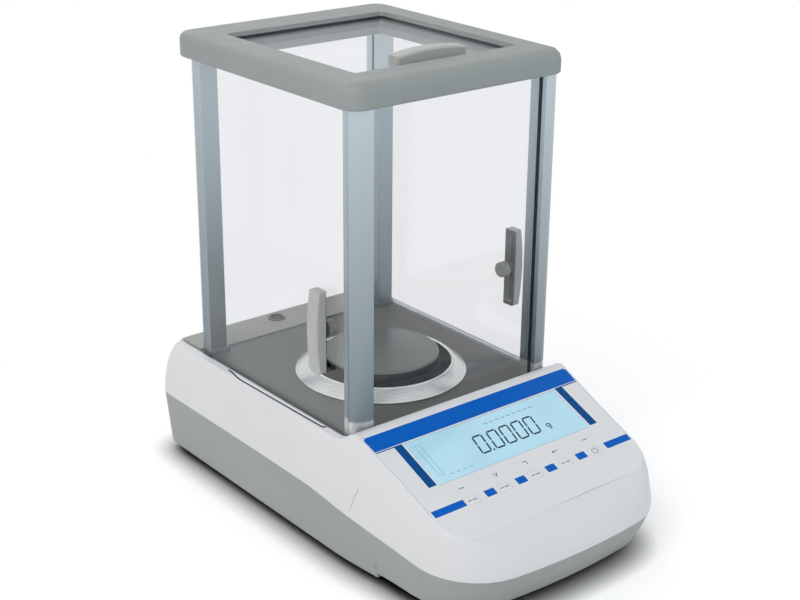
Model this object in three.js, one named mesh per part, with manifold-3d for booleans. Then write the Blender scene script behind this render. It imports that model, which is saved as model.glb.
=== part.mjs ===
// Analytical balance with a glass draught shield: three sliding doors, a lift-off pan, a sloping keypad
// and four levelling feet. Millimetres, +X to the right, the keypad faces -Y, +Z up. The origin is on the
// table, under the middle of the balance.
import * as THREE from "three";
import { mergeVertices } from "three/addons/utils/BufferGeometryUtils.js";
import Module from "manifold-3d";

const { clamp, degToRad, lerp } = THREE.MathUtils;
const wasm = await Module();
wasm.setup();

// Driving dimensions of the housing
const bodyWidth = 215;
const bodyDepth = 385;
const underside = 7.3; // height of the base's underside above the table
const frontUnderside = 10.5; // the underside is cut higher ahead of the front step
const frontStepY = -94;
const seamHeight = 51.3; // parting line between the two shells
const seamHeightFront = 37.5;
const seamDipStart = 0;
const seamDipEnd = -145;
const deckHeight = 96; // top of the weighing chamber's floor
const crestY = -67; // highest line of the keypad's slope
const crestHeight = 107;
const panelSlope = degToRad(21.85);
const rampEndY = -43; // behind the crest the shoulder comes down to the deck here
const frontCornerRadius = 49; // corners in plan at the seam
const rearCornerRadius = 16;
const faceCornerRadius = 25; // corners of the top face's edge
const deckCornerRadius = 18;
const frontBow = 3.5; // how far the front bows out in plan at the seam
const faceBow = 0.5;
const seamTaper = 5; // how much narrower each side is at the front
const faceTaper = 3.7;
const taperStart = -45;
const taperEnd = -125;
const shoulderInset = 7.5; // from the widest line to the edge of the top face
const shoulderInsetFront = 21;
const shoulderInsetRear = 15;
const wall = 3;
const plateMargin = 0.7; // from the rear deck's plate to the edge of the shell's top
const plateThickness = 1.6; // sheets of the chamber's floor and the rear deck
const deckThickness = 6;
const stepGroove = 2.2; // radius of the groove down the base's side at the front step
const stepGrooveHeight = 12;

// Driving dimensions of the draught shield
const frameWidth = 195;
const frameDepth = 220;
const frameFrontY = -60.8;
const frameBottom = 333.3;
const frameHeight = 17.9;
const frameCornerRadius = 14;
const frameEdgeRadius = 5;
const openingWidth = 146;
const openingFrontY = -31.8;
const openingRearY = 125;
const glassThickness = 2.2;
const doorPlane = 92.9; // middle of the side panes
const doorFrontY = -50.6;
const doorRearY = 139.5;
const doorRebate = 5.6; // how far the panes reach into the frame
const frontGlassY = -52.2;
const rearGlassY = 140.2;
const fixedGlassGrip = 4.5; // how far a fixed pane reaches into its posts
const topGlassDrop = 5; // from the frame's top to the middle of the top pane
const topGlassGrip = 5;

// Posts of the draught shield
const postFrontY = -58.8;
const postDepth = 16.3;
const postInner = 77.7; // inner face of a front post
const postLip = 95.2; // outer face ahead of the door's edge
const postCornerRadius = 14;
const rearPostFrontY = 132.4;
const rearPostDepth = 16.2;
const rearPostInner = 76.5;
const rearPostCornerRadius = 8;
const postSeat = 6; // how far a post stands in the deck
const postPocket = 3; // how far it reaches into the frame
const shoeHeight = 6;
const shoeWall = 1.3;

// Weighing system
const panDiameter = 90;
const panCentreY = 31.5;
const panHeight = 16; // top of the pan above the deck
const panSkirt = 6;
const ringDiameter = 133;
const ringTopDiameter = 114;
const ringHeight = 8;
const ringWall = 1.2;
const carrierRadius = 4;
const panSheet = 1.2;
const panHub = 10.5; // depth of the socket under the pan
const hubWall = 2.2;
const ringClearance = 8; // between the pan and the ring round it

// Door handles
const handleLength = 62;
const handleWidth = 12;
const handleRise = 10.3; // from the glass to the crown of the arch
const handleEndRise = 7.8;
const handleHeight = 169.8; // middle of a side handle above the table
const leftHandleY = -21.5;
const rightHandleY = -9;
const topHandleY = -19;
const knobRadius = 6;
const knobDepth = 7;
const stemRadius = 2;

// Keypad and display, measured down the slope from the crest
const filmStart = 3.5;
const filmRim = 1.1; // from the edge of the top face to the film
const filmCorner = 3; // cut off its rear corners
const foil = 0.6;
const windowWidth = 144;
const windowPlace = 0.181; // shares of the slope's length: to the window, its length, to the row of keys
const windowShare = 0.3695;
const keyPlace = 0.733;
const windowThickness = 1.5;
const keySpacing = 29.5;
const keyWidth = 12;
const keyLength = 7.5;
const keyTravel = 0.5;

// Levelling feet
const footInset = 29.5; // from the housing's side to the middle of a foot
const frontFootInset = 79.5;
const rearFootInset = 32.5;
const wheelRadius = 14;
const wheelThickness = 5;
const padRadius = 11;
const padThickness = 3.2;
const screwRadius = 4;
const screwLength = 22;
const recessHeight = 13.5; // ceiling of the recess that holds a wheel
const recessSpace = 1.5; // round the wheel

// Shoulder strips beside the doors, and the finger scallop below them
const sillOuter = 98.6;
const sillSlant = 1.8; // how much nearer the middle its outer edge is at the front
const sillFrontY = -25;
const sillJogY = 76;
const sillRearY = 101;
const sillDepth = 4;
const sillGroove = 1; // dark gap between a strip and the shoulder
const scallopWidth = 10;
const scallopLength = 62;
const scallopDepth = 12;
const scallopOut = 2.5; // its middle lies this far out from the housing's side

// Spirit level
const levelX = -6;
const levelPlace = 0.675; // share of the rear deck's depth, from its front
const levelRadius = 7;
const levelWall = 1.5;
const levelSeat = 4.5; // how deep it stands in the deck
const levelMargin = 0.5; // least width of deck beside its hole

// Inside
const columnInset = 17.5;
const frontColumnY = -51;
const rearColumnY = 110;
const columnRadius = 6;
const columnJoint = 44;
const screwHole = 2.2;
const screwHeadRadius = 3.8;
const screwHeadHeight = 3;
const screwSeat = 17.5; // what the screws' heads bear on
const screwTip = 66;
const bossRadius = 8;
const bossTop = 32;
const cellWidth = 48;
const cellReach = 13.5; // from the middle of the pan to the front of the cell
const cellSpace = 4; // between the cell and the magnet
const cellFoot = 28; // length of its fixed end
const cellBottom = 36;
const cellTop = 78;
const magnetInset = 40.5; // from the housing's rear
const magnetRadius = 20;
const magnetBottom = 22;
const coilRadius = 9;
const carrierHole = 10;
const carrierHead = 4.8;
const coverRadius = 12;
const coverLip = 2.3; // ledge that carries the cover
const boardWidth = 132;
const boardLength = 62;
const boardInset = 56.5; // from the housing's front to the middle of the main board
const boardHeight = 22;
const boardThickness = 1.6;
const boardMargin = 6; // from the board's edge to the middle of a post under it
const boardPost = 3; // radius of that post
const keypadWidth = 164;
const keypadShare = 0.266; // of the slope's length
const keypadDepth = 5.5;
const keyStem = 2;
const displayDepth = 6;

// Rear sockets
const socketHeight = 29;
const socketLength = 15;
const socketInset = 5.5; // from the housing's rear to a socket's face
const socketMouth = 8; // depth of the mouth
const sockets = [
  { name: "power_inlet", x: -62, width: 14, height: 13, hole: { round: true, width: 8 } },
  { name: "serial_socket", x: -22, width: 34, height: 14, hole: { width: 19, height: 8 } },
  { name: "usb_socket", x: 22, width: 15, height: 13, hole: { width: 9, height: 8 } },
];

const gap = 0.3; // clearance between neighbouring pieces
const half = bodyWidth / 2;
const frontY = -bodyDepth / 2;
const rearY = bodyDepth / 2;
const deckLine = deckHeight - plateThickness; // the plates of the deck lie on this
const slopeLength = (crestY - frontY - shoulderInsetFront) / Math.cos(panelSlope);
const windowStart = windowPlace * slopeLength;
const windowLength = windowShare * slopeLength;
const keyRow = keyPlace * slopeLength;
const keypadLength = keypadShare * slopeLength;
const footX = half - footInset;
const frontFootY = frontY + frontFootInset;
const rearFootY = rearY - rearFootInset;
const columnX = half - columnInset;
const boardCentreY = frontY + boardInset;
const socketFaceY = rearY - socketInset;
const socketBackY = socketFaceY - socketLength;
const postOuter = doorPlane - glassThickness / 2 - gap;
const glassFoot = deckHeight - 4;
const paneRoom = glassThickness / 2 + gap; // half the width of a groove that holds a pane
const gripRoom = fixedGlassGrip + gap;
const postRearY = postFrontY + postDepth;
const rearPostRearY = rearPostFrontY + rearPostDepth;
const wellFrontY = postFrontY - 2 * gap - shoeWall;
const plateRearY = rearY - shoulderInsetRear - plateMargin;
const rearDeckFrontY = rearGlassY + glassThickness / 2 + 2 * gap;
const levelY = Math.min(
  lerp(rearDeckFrontY, plateRearY, levelPlace), plateRearY - levelRadius - gap - levelMargin,
);
const levelFoot = deckHeight - levelSeat;
const ringHole = panDiameter / 2 + ringClearance;
const magnetY = rearY - magnetInset;
const cellRearY = magnetY - magnetRadius - cellSpace;
const cellFrontY = panCentreY - cellReach;
const topGlassFrontY = openingFrontY - topGlassGrip;
const frameTop = frameBottom + frameHeight;
const frameRearY = frameFrontY + frameDepth;
const topGlassRearY = frameRearY - 4;
const topGlassHeight = frameTop - topGlassDrop;

// Finishes
const finish = {
  shell: [0xe1e2e4, 0.45, 0],
  base: [0x9ba09c, 0.6, 0],
  frame: [0x969b9b, 0.5, 0],
  aluminium: [0xa8b4bc, 0.35, 0.9],
  steel: [0xb8bab8, 0.25, 1],
  plate: [0x7a7c77, 0.3, 0.8],
  deck: [0xafafa8, 0.5, 0],
  glass: [0xe8f0f0, 0.05, 0],
  handle: [0xb4b4ae, 0.5, 0],
  black: [0x1c1d1e, 0.6, 0],
  overlay: [0xd7d7de, 0.35, 0],
  key: [0xeceef0, 0.4, 0],
  display: [0xb4dcee, 0.15, 0],
  board: [0x2c6a3e, 0.6, 0],
  liquid: [0xb9cf52, 0.1, 0],
};

const balance = new THREE.Group();

// Solids

// One closed surface with shared corners, turned outwards.
function closed(geometry) {
  const bare = geometry.clone();
  for (const name of Object.keys(bare.attributes)) {
    if (name !== "position") bare.deleteAttribute(name);
  }
  const merged = mergeVertices(bare, 1e-4);
  if (signedVolume(merged) < 0) {
    const index = merged.index.array;
    for (let i = 0; i < index.length; i += 3) {
      [index[i + 1], index[i + 2]] = [index[i + 2], index[i + 1]];
    }
  }
  return merged;
}

function signedVolume(geometry) {
  const p = geometry.attributes.position;
  const corner = [new THREE.Vector3(), new THREE.Vector3(), new THREE.Vector3()];
  let sum = 0;
  for (let i = 0; i < geometry.index.count; i += 3) {
    corner.forEach((c, k) => c.fromBufferAttribute(p, geometry.index.getX(i + k)));
    sum += corner[0].dot(corner[1].cross(corner[2]));
  }
  return sum / 6;
}

function solid(geometry) {
  const shape = closed(geometry);
  return new wasm.Manifold(
    new wasm.Mesh({
      numProp: 3,
      vertProperties: new Float32Array(shape.attributes.position.array),
      triVerts: new Uint32Array(shape.index.array),
    }),
  );
}

function geometryOf(manifold) {
  const mesh = manifold.getMesh();
  const geometry = new THREE.BufferGeometry();
  geometry.setAttribute("position", new THREE.BufferAttribute(mesh.vertProperties, 3));
  geometry.setIndex(new THREE.BufferAttribute(mesh.triVerts, 1));
  return geometry;
}

// The first shape with the joined shapes added and the cut shapes taken away.
function carve(body, cuts, joined = []) {
  let result = solid(body);
  for (const shape of joined) result = result.add(solid(shape));
  for (const shape of cuts) result = result.subtract(solid(shape));
  return geometryOf(result);
}

function box(x0, x1, y0, y1, z0, z1) {
  const shape = new THREE.BoxGeometry(x1 - x0, y1 - y0, z1 - z0);
  return shape.translate((x0 + x1) / 2, (y0 + y1) / 2, (z0 + z1) / 2);
}

// A stretch of x from one distance to another on the given side of the middle.
function span(side, near, far) {
  return [side * near, side * far].sort((a, b) => a - b);
}

function cylinder(radius, x, y, z0, z1, sides = 24) {
  const shape = new THREE.CylinderGeometry(radius, radius, z1 - z0, sides);
  return shape.rotateX(Math.PI / 2).translate(x, y, (z0 + z1) / 2);
}

// A profile of radius and height pairs, turned about a vertical axis.
function turned(profile, x, y, z, sides = 36) {
  const points = profile.map(([r, h]) => new THREE.Vector2(r, h));
  return new THREE.LatheGeometry(points, sides).rotateX(Math.PI / 2).translate(x, y, z);
}

// A flat outline in X and Y, from z0 up to z1.
function plate(shape, z0, z1, curveSegments = 6) {
  const options = { depth: z1 - z0, bevelEnabled: false, curveSegments };
  return new THREE.ExtrudeGeometry(shape, options).translate(0, 0, z0);
}

function roundedRect(x0, x1, y0, y1, r) {
  const shape = new THREE.Shape();
  shape.moveTo(x0 + r, y0);
  shape.lineTo(x1 - r, y0);
  shape.absarc(x1 - r, y0 + r, r, -Math.PI / 2, 0, false);
  shape.lineTo(x1, y1 - r);
  shape.absarc(x1 - r, y1 - r, r, 0, Math.PI / 2, false);
  shape.lineTo(x0 + r, y1);
  shape.absarc(x0 + r, y1 - r, r, Math.PI / 2, Math.PI, false);
  shape.lineTo(x0, y0 + r);
  shape.absarc(x0 + r, y0 + r, r, Math.PI, 1.5 * Math.PI, false);
  return shape;
}

function polygon(points) {
  return new THREE.Shape(points.map(([x, y]) => new THREE.Vector2(x, y)));
}

function addPiece(name, geometry, look, group = balance) {
  const [color, roughness, metalness] = finish[look];
  const flat = geometry.index ? geometry.toNonIndexed() : geometry;
  flat.computeVertexNormals();
  const material = new THREE.MeshStandardMaterial({ color, roughness, metalness });
  if (look === "glass") {
    material.transparent = true;
    material.opacity = 0.25;
  }
  const mesh = new THREE.Mesh(flat, material);
  mesh.name = name;
  group.add(mesh);
  return mesh;
}

// Shape of the housing

function smooth(t) {
  const u = clamp(t, 0, 1);
  return u * u * (3 - 2 * u);
}

function seamZ(y) {
  const dip = smooth((seamDipStart - y) / (seamDipStart - seamDipEnd));
  return lerp(seamHeight, seamHeightFront, dip);
}

function panelZ(y) {
  return crestHeight + (y - crestY) * Math.tan(panelSlope);
}

function topZ(y) {
  if (y <= crestY) return panelZ(y);
  const fall = smooth((y - crestY) / (rampEndY - crestY));
  return lerp(crestHeight, deckHeight, fall);
}

function bottomZ(y) {
  return y < frontStepY ? frontUnderside : underside;
}

// Half of a plan outline, from the middle of the front by the right side to the middle of the rear, then
// mirrored: points i and n - i lie across from each other. side gives the half width at a place in y, and
// the front bows out by bow, into corners that start at its slope.
function planOutline({ side, front, rear, frontRadius, rearRadius, bow = 0, stations = [], steps = 7 }) {
  const cornerX = side(front) - frontRadius;
  const lean = Math.atan((2 * bow) / cornerX);
  const edgeX = cornerX + frontRadius * Math.sin(lean);
  const cornerY = front + bow + frontRadius * Math.cos(lean);
  const right = [0, 1 / 3, 2 / 3].map((share) => [share * edgeX, front + bow * share * share]);
  for (let i = 0; i <= steps; i++) {
    const a = lerp(lean, Math.PI / 2, i / steps);
    right.push([cornerX + frontRadius * Math.sin(a), cornerY - frontRadius * Math.cos(a)]);
  }
  for (const y of stations) right.push([side(y), y]);
  for (let i = 0; i <= steps; i++) {
    const a = (i / steps) * (Math.PI / 2);
    const px = side(rear) - rearRadius + rearRadius * Math.cos(a);
    right.push([px, rear - rearRadius + rearRadius * Math.sin(a)]);
  }
  right.push([0, rear]);
  const left = right.slice(1, -1).reverse().map(([px, py]) => [-px, py]);
  return [...right, ...left];
}

// Half the housing's width at a place in y, at a share of the way from the seam in to the top face's edge.
function sideX(share, y) {
  const taper = lerp(seamTaper, faceTaper, share);
  return half - share * shoulderInset - taper * smooth((taperStart - y) / (taperStart - taperEnd));
}

// The housing's outline at that share, drawn in by the given amounts.
function housingOutline(share, inset, insetFront = inset, insetRear = inset) {
  const step = 0.05;
  return planOutline({
    side: (y) => sideX(share, y) - inset,
    front: frontY + share * shoulderInsetFront + insetFront,
    rear: rearY - share * shoulderInsetRear - insetRear,
    frontRadius: lerp(frontCornerRadius, faceCornerRadius, share) - inset,
    rearRadius: lerp(rearCornerRadius, deckCornerRadius, share) - inset,
    bow: lerp(frontBow, faceBow, share),
    stations: [
      -125, -110, frontStepY - step, frontStepY + step, -80, crestY, -61, -55, -49, rampEndY, -20, 40,
    ],
  });
}

// A closed skin through rings of equal length, closed at both ends by strips from side to side.
function loft(rings) {
  const n = rings[0].length;
  const index = [];
  for (let r = 0; r < rings.length - 1; r++) {
    for (let i = 0; i < n; i++) {
      const a = r * n + i;
      const b = r * n + ((i + 1) % n);
      index.push(a, b, b + n, a, b + n, a + n);
    }
  }
  for (let i = 0; i < n / 2; i++) {
    const across = [i, i + 1, n - i - 1, (n - i) % n];
    const [a, b, c, d] = across;
    const [e, f, g, h] = across.map((k) => k + (rings.length - 1) * n);
    if (b !== c) index.push(a, c, b, e, f, g);
    if (a !== d) index.push(a, d, c, e, g, h);
  }
  const geometry = new THREE.BufferGeometry();
  geometry.setAttribute("position", new THREE.Float32BufferAttribute(rings.flat(2), 3));
  geometry.setIndex(index);
  return geometry;
}

// Share of the shoulder's inset and of the height, from the seam to the edge of the top face.
const flank = [[0, 0], [0.05, 0.25], [0.17, 0.48], [0.34, 0.7], [0.6, 0.88], [0.82, 0.96], [1, 1]];

function shoulderSkin(inset, lowZ, highZ) {
  const rings = flank.map(([share, rise]) => {
    const outline = housingOutline(share, inset);
    return outline.map(([x, y]) => [x, y, lerp(lowZ(y), highZ(y), rise)]);
  });
  return loft(rings);
}

// A block with rounded corners in plan, given as levels of inset and height.
function roundedBlock(halfWidth, front, rear, radius, levels) {
  const rings = levels.map(([inset, z]) => {
    const outline = planOutline({
      side: () => halfWidth - inset,
      front: front + inset,
      rear: rear - inset,
      frontRadius: radius - inset,
      rearRadius: radius - inset,
      steps: 5,
    });
    return outline.map(([x, y]) => [x, y, z]);
  });
  return loft(rings);
}

// Places on the keypad's slope: x, distance down the slope from the crest, height above its face.
const panelPlace = new THREE.Matrix4().makeRotationX(panelSlope).setPosition(0, crestY, crestHeight);

function onPanel(geometry) {
  return geometry.applyMatrix4(panelPlace);
}

function panelBox(x0, x1, s0, s1, low, high) {
  return box(x0, x1, -s1, -s0, low, high);
}

// Room for the ends of the two posts on one side.
function postPockets(side, low, high) {
  const rear = span(side, rearPostInner - gap, postOuter);
  return [
    plate(polygon(frontSection(side, gap)), low, high),
    box(...rear, rearPostFrontY - gap, rearPostRearY + gap, low, high),
  ];
}

// Room across the deck or the frame for the edge of a fixed pane between two posts.
function paneGroove(inner, y, low, high) {
  return box(-inner - gripRoom, inner + gripRoom, y - paneRoom, y + paneRoom, low, high);
}

// Upper housing

function sillOutline(side, clearance) {
  const inner = doorPlane + glassThickness / 2 + 2 * gap - gap * Math.sign(clearance);
  const outer = sillOuter + clearance;
  const front = sillFrontY - clearance;
  const rear = sillRearY + clearance;
  const shape = new THREE.Shape();
  shape.moveTo(side * inner, front);
  shape.lineTo(side * (outer - sillSlant - 1), front);
  shape.lineTo(side * (outer - sillSlant), front + 3);
  shape.lineTo(side * outer, sillJogY);
  const blunt = inner + 1 + clearance + gap * Math.sign(clearance);
  shape.bezierCurveTo(side * outer, sillJogY + 12, side * blunt, rear - 12, side * blunt, rear);
  shape.lineTo(side * inner, rear);
  shape.closePath();
  return shape;
}

function upperHousing() {
  const inside = (y) => {
    const under = topZ(y) - wall / Math.cos(panelSlope);
    return y > crestY + 1 ? deckHeight - deckThickness - 2 : under;
  };
  const hollow = carve(shoulderSkin(0, seamZ, topZ), [shoulderSkin(wall, (y) => seamZ(y) - 8, inside)]);
  const columns = columnPlaces().map(([x, y]) => {
    return cylinder(columnRadius, x, y, columnJoint + gap, deckHeight - deckThickness - 1, 12);
  });
  const cuts = [
    box(-postOuter, postOuter, wellFrontY, plateRearY + gap, deckLine - gap, crestHeight + 5),
    paneGroove(postInner, frontGlassY, glassFoot - gap, deckHeight),
    paneGroove(rearPostInner, rearGlassY, glassFoot - gap, deckHeight),
    cylinder(carrierHole, 0, panCentreY, deckLine - 2 * deckThickness, deckHeight),
    cylinder(levelRadius + gap, levelX, levelY, levelFoot - gap, deckHeight + 1),
  ];
  const high = crestHeight + 5;
  for (const side of [-1, 1]) {
    const doorGroove = span(side, postOuter - 1, doorPlane + paneRoom);
    cuts.push(
      box(...doorGroove, doorFrontY - gap, rearY + 10, glassFoot - gap, high),
      ...postPockets(side, deckHeight - postSeat - gap, high),
    );
    cuts.push(plate(sillOutline(side, sillGroove), deckHeight - sillDepth - gap, deckHeight + 2));
    const scallop = new THREE.SphereGeometry(1, 18, 12).scale(scallopWidth, scallopLength, scallopDepth);
    cuts.push(scallop.translate(side * (half + scallopOut), (sillFrontY + sillRearY) / 2, deckHeight + 1));
  }
  for (const [x, y] of columnPlaces()) cuts.push(cylinder(screwHole, x, y, columnJoint, screwTip + 1, 10));
  cuts.push(...panelCuts());
  return carve(hollow, cuts, columns);
}

function panelCuts() {
  const rim = 3; // ledge that carries the window
  const hole = windowWidth / 2 - rim;
  const cuts = [
    onPanel(plate(filmOutline(gap), -foil - gap, 10)),
    onPanel(panelBox(-hole, hole, windowStart + rim, windowStart + windowLength - rim, -20, 5)),
    onPanel(panelBox(
      -windowWidth / 2 - gap, windowWidth / 2 + gap, windowStart - gap, windowStart + windowLength + gap,
      -windowThickness - gap, 5,
    )),
  ];
  for (const x of keyPlaces()) {
    cuts.push(onPanel(plate(keyOutline(x, gap), -foil - gap - keyTravel, 5, 3)));
    cuts.push(onPanel(cylinder(keyStem + gap, x, -keyRow, -20, 5, 10)));
  }
  return cuts;
}

// Outline of the keypad's film in the panel's plane: the top face's edge from just below the crest down.
function filmOutline(clearance) {
  const inset = filmRim - clearance;
  const rearEdge = crestY - (filmStart - clearance) * Math.cos(panelSlope);
  const width = sideX(1, rearEdge) - inset;
  const right = housingOutline(1, inset).filter(([x, y]) => x > 0 && y < rearEdge - filmCorner - 1);
  right.push([width, rearEdge - filmCorner], [width - filmCorner, rearEdge]);
  const left = [...right].reverse().map(([x, y]) => [-x, y]);
  return polygon([...right, ...left].map(([x, y]) => [x, (y - crestY) / Math.cos(panelSlope)]));
}

function keyPlaces() {
  return [-2, -1, 0, 1, 2].map((i) => i * keySpacing);
}

function keyOutline(x, clearance) {
  const w = keyWidth / 2 + clearance;
  const l = keyLength / 2 + clearance;
  return roundedRect(x - w, x + w, -keyRow - l, -keyRow + l, keyLength / 2);
}

function columnPlaces() {
  return [[-columnX, frontColumnY], [columnX, frontColumnY], [-columnX, rearColumnY], [columnX, rearColumnY]];
}

function footPlaces() {
  return [[-footX, frontFootY], [footX, frontFootY], [-footX, rearFootY], [footX, rearFootY]];
}

// Lower base

// Levels of the base's side: inset at the side, the front and the rear, and share of the height.
const baseSide = [[2.6, 14, 9, 0], [1.4, 12, 7.5, 0.05], [0.8, 5.5, 4, 0.5], [0.2, 0.2, 0.2, 1]];

function baseSkin(inset, lowZ, highZ) {
  const rings = baseSide.map(([side, front, rear, rise]) => {
    const outline = housingOutline(0, side + inset, front + inset, rear + inset);
    return outline.map(([x, y]) => [x, y, lerp(lowZ(y), highZ(y), rise)]);
  });
  return loft(rings);
}

function lowerBase() {
  const skin = baseSkin(0, bottomZ, (y) => seamZ(y) - gap);
  const hollow = carve(skin, [baseSkin(wall, (y) => bottomZ(y) + wall, (y) => seamZ(y) + 5)]);
  const floor = underside + wall - 1;
  const joined = [
    box(-cellWidth / 2, cellWidth / 2, cellRearY - cellFoot, cellRearY, floor, cellBottom - gap),
    cylinder(magnetRadius - 6, 0, magnetY, floor, magnetBottom - gap),
  ];
  for (const [x, y] of footPlaces()) {
    const outer = wheelRadius + recessSpace + wall - 0.5;
    const low = y < frontStepY ? frontUnderside + 1 : underside + 1;
    joined.push(cylinder(outer, x, y, low, recessHeight + wall, 20));
    joined.push(cylinder(bossRadius, x, y, recessHeight, bossTop, 14));
  }
  for (const [x, y] of columnPlaces()) joined.push(cylinder(columnRadius, x, y, floor, columnJoint, 12));
  for (const [x, y] of boardPlaces()) {
    joined.push(cylinder(boardPost, x, y, frontUnderside + wall - 1, boardHeight - gap, 12));
  }
  const cuts = [
    cylinder(coverRadius + gap, 0, panCentreY, underside - 1, underside + wall / 2),
    cylinder(coverRadius - coverLip, 0, panCentreY, underside - 1, underside + wall + 2),
  ];
  for (const [x, y] of footPlaces()) {
    cuts.push(cylinder(wheelRadius + recessSpace, x, y, underside - 1, recessHeight, 20));
    cuts.push(cylinder(screwRadius + gap, x, y, underside, bossTop + 1, 14));
  }
  for (const [x, y] of columnPlaces()) {
    cuts.push(cylinder(screwHole, x, y, underside - 1, columnJoint + 1, 10));
    cuts.push(cylinder(screwHeadRadius + gap, x, y, underside - 1, screwSeat, 14));
  }
  for (const s of sockets) {
    cuts.push(box(
      s.x - s.width / 2 - gap, s.x + s.width / 2 + gap, socketBackY - 2, rearY + 5,
      socketHeight - s.height / 2 - gap, socketHeight + s.height / 2 + gap,
    ));
  }
  for (const side of [-1, 1]) {
    const x = side * sideX(0, frontStepY);
    cuts.push(cylinder(stepGroove, x, frontStepY, underside - 1, underside + stepGrooveHeight, 12));
  }
  return carve(hollow, cuts, joined);
}

function boardPlaces() {
  const x = boardWidth / 2 - boardMargin;
  const front = boardCentreY - boardLength / 2 + boardMargin;
  const rear = boardCentreY + boardLength / 2 - boardMargin;
  return [[-x, front], [x, front], [-x, rear], [x, rear]];
}

addPiece("lower_base", lowerBase(), "base");
addPiece("upper_housing", upperHousing(), "shell");

// Weighing chamber

// Room round the posts and their shoes in the plates of the deck.
function postNotches() {
  const notches = [];
  for (const side of [-1, 1]) {
    notches.push(box(
      ...span(side, postInner - gap, half), frontGlassY, postRearY + gap, deckLine - 5, deckHeight + 5,
    ));
    notches.push(box(
      ...span(side, rearPostInner - shoeWall - 2 * gap, half),
      rearPostFrontY - shoeWall - 2 * gap, rearPostRearY + gap, deckLine - 5, deckHeight + 5,
    ));
  }
  return notches;
}

function chamberFloor() {
  const front = frontGlassY + glassThickness / 2 + 2 * gap;
  const rear = rearGlassY - glassThickness / 2 - 2 * gap;
  const sheet = box(-postOuter + gap, postOuter - gap, front, rear, deckLine, deckHeight);
  const hole = cylinder(carrierHole, 0, panCentreY, deckLine - 5, deckHeight + 5);
  return carve(sheet, [hole, ...postNotches()]);
}

function rearDeck() {
  const sheet = box(
    -postOuter + gap, postOuter - gap, rearDeckFrontY, plateRearY, deckLine, deckHeight,
  );
  const hole = cylinder(levelRadius + gap, levelX, levelY, deckLine - 5, deckHeight + 5);
  return carve(sheet, [hole, ...postNotches()]);
}

function sill(side) {
  return carve(plate(sillOutline(side, 0), deckHeight - sillDepth, deckHeight + 0.4), []);
}

function levelBezel() {
  const inner = levelRadius - levelWall;
  const rim = levelSeat + 1; // it stands a little above the deck
  const profile = [
    [inner, 0], [levelRadius, 0], [levelRadius, rim], [inner + 0.5, rim + 0.5], [inner, rim], [inner, 0],
  ];
  return turned(profile, levelX, levelY, levelFoot, 24);
}

function levelVial() {
  const r = levelRadius - levelWall - gap;
  const top = levelSeat + 0.8;
  const profile = [[0, 0], [r, 0], [r, top - 0.8], [r * 0.6, top - 0.2], [0, top]];
  return turned(profile, levelX, levelY, levelFoot, 20);
}

addPiece("chamber_floor", chamberFloor(), "plate");
addPiece("rear_deck", rearDeck(), "deck");
addPiece("left_sill", sill(-1), "shell");
addPiece("right_sill", sill(1), "shell");
addPiece("level_bezel", closed(levelBezel()), "black");
addPiece("level_vial", closed(levelVial()), "liquid");

// Weighing system

function draftRing() {
  const r = ringDiameter / 2;
  const t = ringTopDiameter / 2;
  const slant = (r - t) / ringHeight;
  const inner = (height) => r - slant * height - ringWall * Math.hypot(1, slant);
  const fold = ringHeight - 1.1; // under the lip that turns in at the top
  const profile = [
    [ringHole, 0], [r, 0], [t, ringHeight], [t - 2.5, ringHeight + 0.5], [t - 2.7, ringHeight - 0.6],
    [inner(fold), fold], [inner(ringWall), ringWall], [ringHole, ringWall], [ringHole, 0],
  ];
  return closed(turned(profile, 0, panCentreY, deckHeight + gap, 40));
}

function weighingPan() {
  const r = panDiameter / 2;
  const t = panSheet;
  const bore = carrierHead + gap;
  const hub = bore + hubWall;
  const profile = [
    [0, 0], [r - 1.5, 0], [r - 0.4, -0.4], [r, -1.5], [r, -panSkirt], [r - t, -panSkirt],
    [r - t, -t - 0.6], [r - t - 1, -t], [hub, -t], [hub, -panHub],
    [bore, -panHub], [bore, -t], [0, -t],
  ];
  return closed(turned(profile, 0, panCentreY, deckHeight + panHeight, 36));
}

function panCarrier() {
  const foot = cellTop + gap;
  const top = deckHeight + panHeight - panSheet - gap - foot;
  const profile = [
    [0, 0], [9, 0], [9, 2.5], [carrierRadius, 3.5], [carrierRadius, top - 11], [carrierHead, top - 9],
    [carrierHead, top], [0, top],
  ];
  return closed(turned(profile, 0, panCentreY, foot, 20));
}

function weighCell() {
  const w = cellWidth / 2;
  const body = box(-w, w, cellFrontY, cellRearY, cellBottom, cellTop);
  const front = panCentreY + 16;
  const rear = cellRearY - cellFoot - 3;
  const across = (y, z) => cylinder(4.5, 0, 0, -w - 5, w + 5, 16).rotateY(Math.PI / 2).translate(0, y, z);
  const cuts = [box(-w - 5, w + 5, front, rear, cellBottom + 10, cellTop - 10)];
  for (const y of [front + 5, rear - 5]) {
    cuts.push(across(y, cellTop - 6.5), across(y, cellBottom + 6.5));
  }
  return carve(body, cuts);
}

function cellLever() {
  const low = cellTop + gap;
  const bar = box(-4, 4, panCentreY + 10, magnetY + 6, low, low + 5);
  const coil = cylinder(coilRadius, 0, magnetY, magnetBottom + 18, low + 2);
  return carve(bar, [cylinder(coilRadius - 1.6, 0, magnetY, magnetBottom, low - 3)], [coil]);
}

function cellMagnet() {
  const slot = [coilRadius - 3.2, coilRadius + 1.8];
  const top = 38;
  const profile = [
    [0, 0], [magnetRadius, 0], [magnetRadius, top], [slot[1], top], [slot[1], 10], [slot[0], 10],
    [slot[0], top], [0, top],
  ];
  return closed(turned(profile, 0, magnetY, magnetBottom, 28));
}

addPiece("draft_ring", draftRing(), "steel");
addPiece("weighing_pan", weighingPan(), "steel");
addPiece("pan_carrier", panCarrier(), "steel");
addPiece("weigh_cell", weighCell(), "aluminium");
addPiece("cell_lever", cellLever(), "aluminium");
addPiece("cell_magnet", cellMagnet(), "black");

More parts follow.
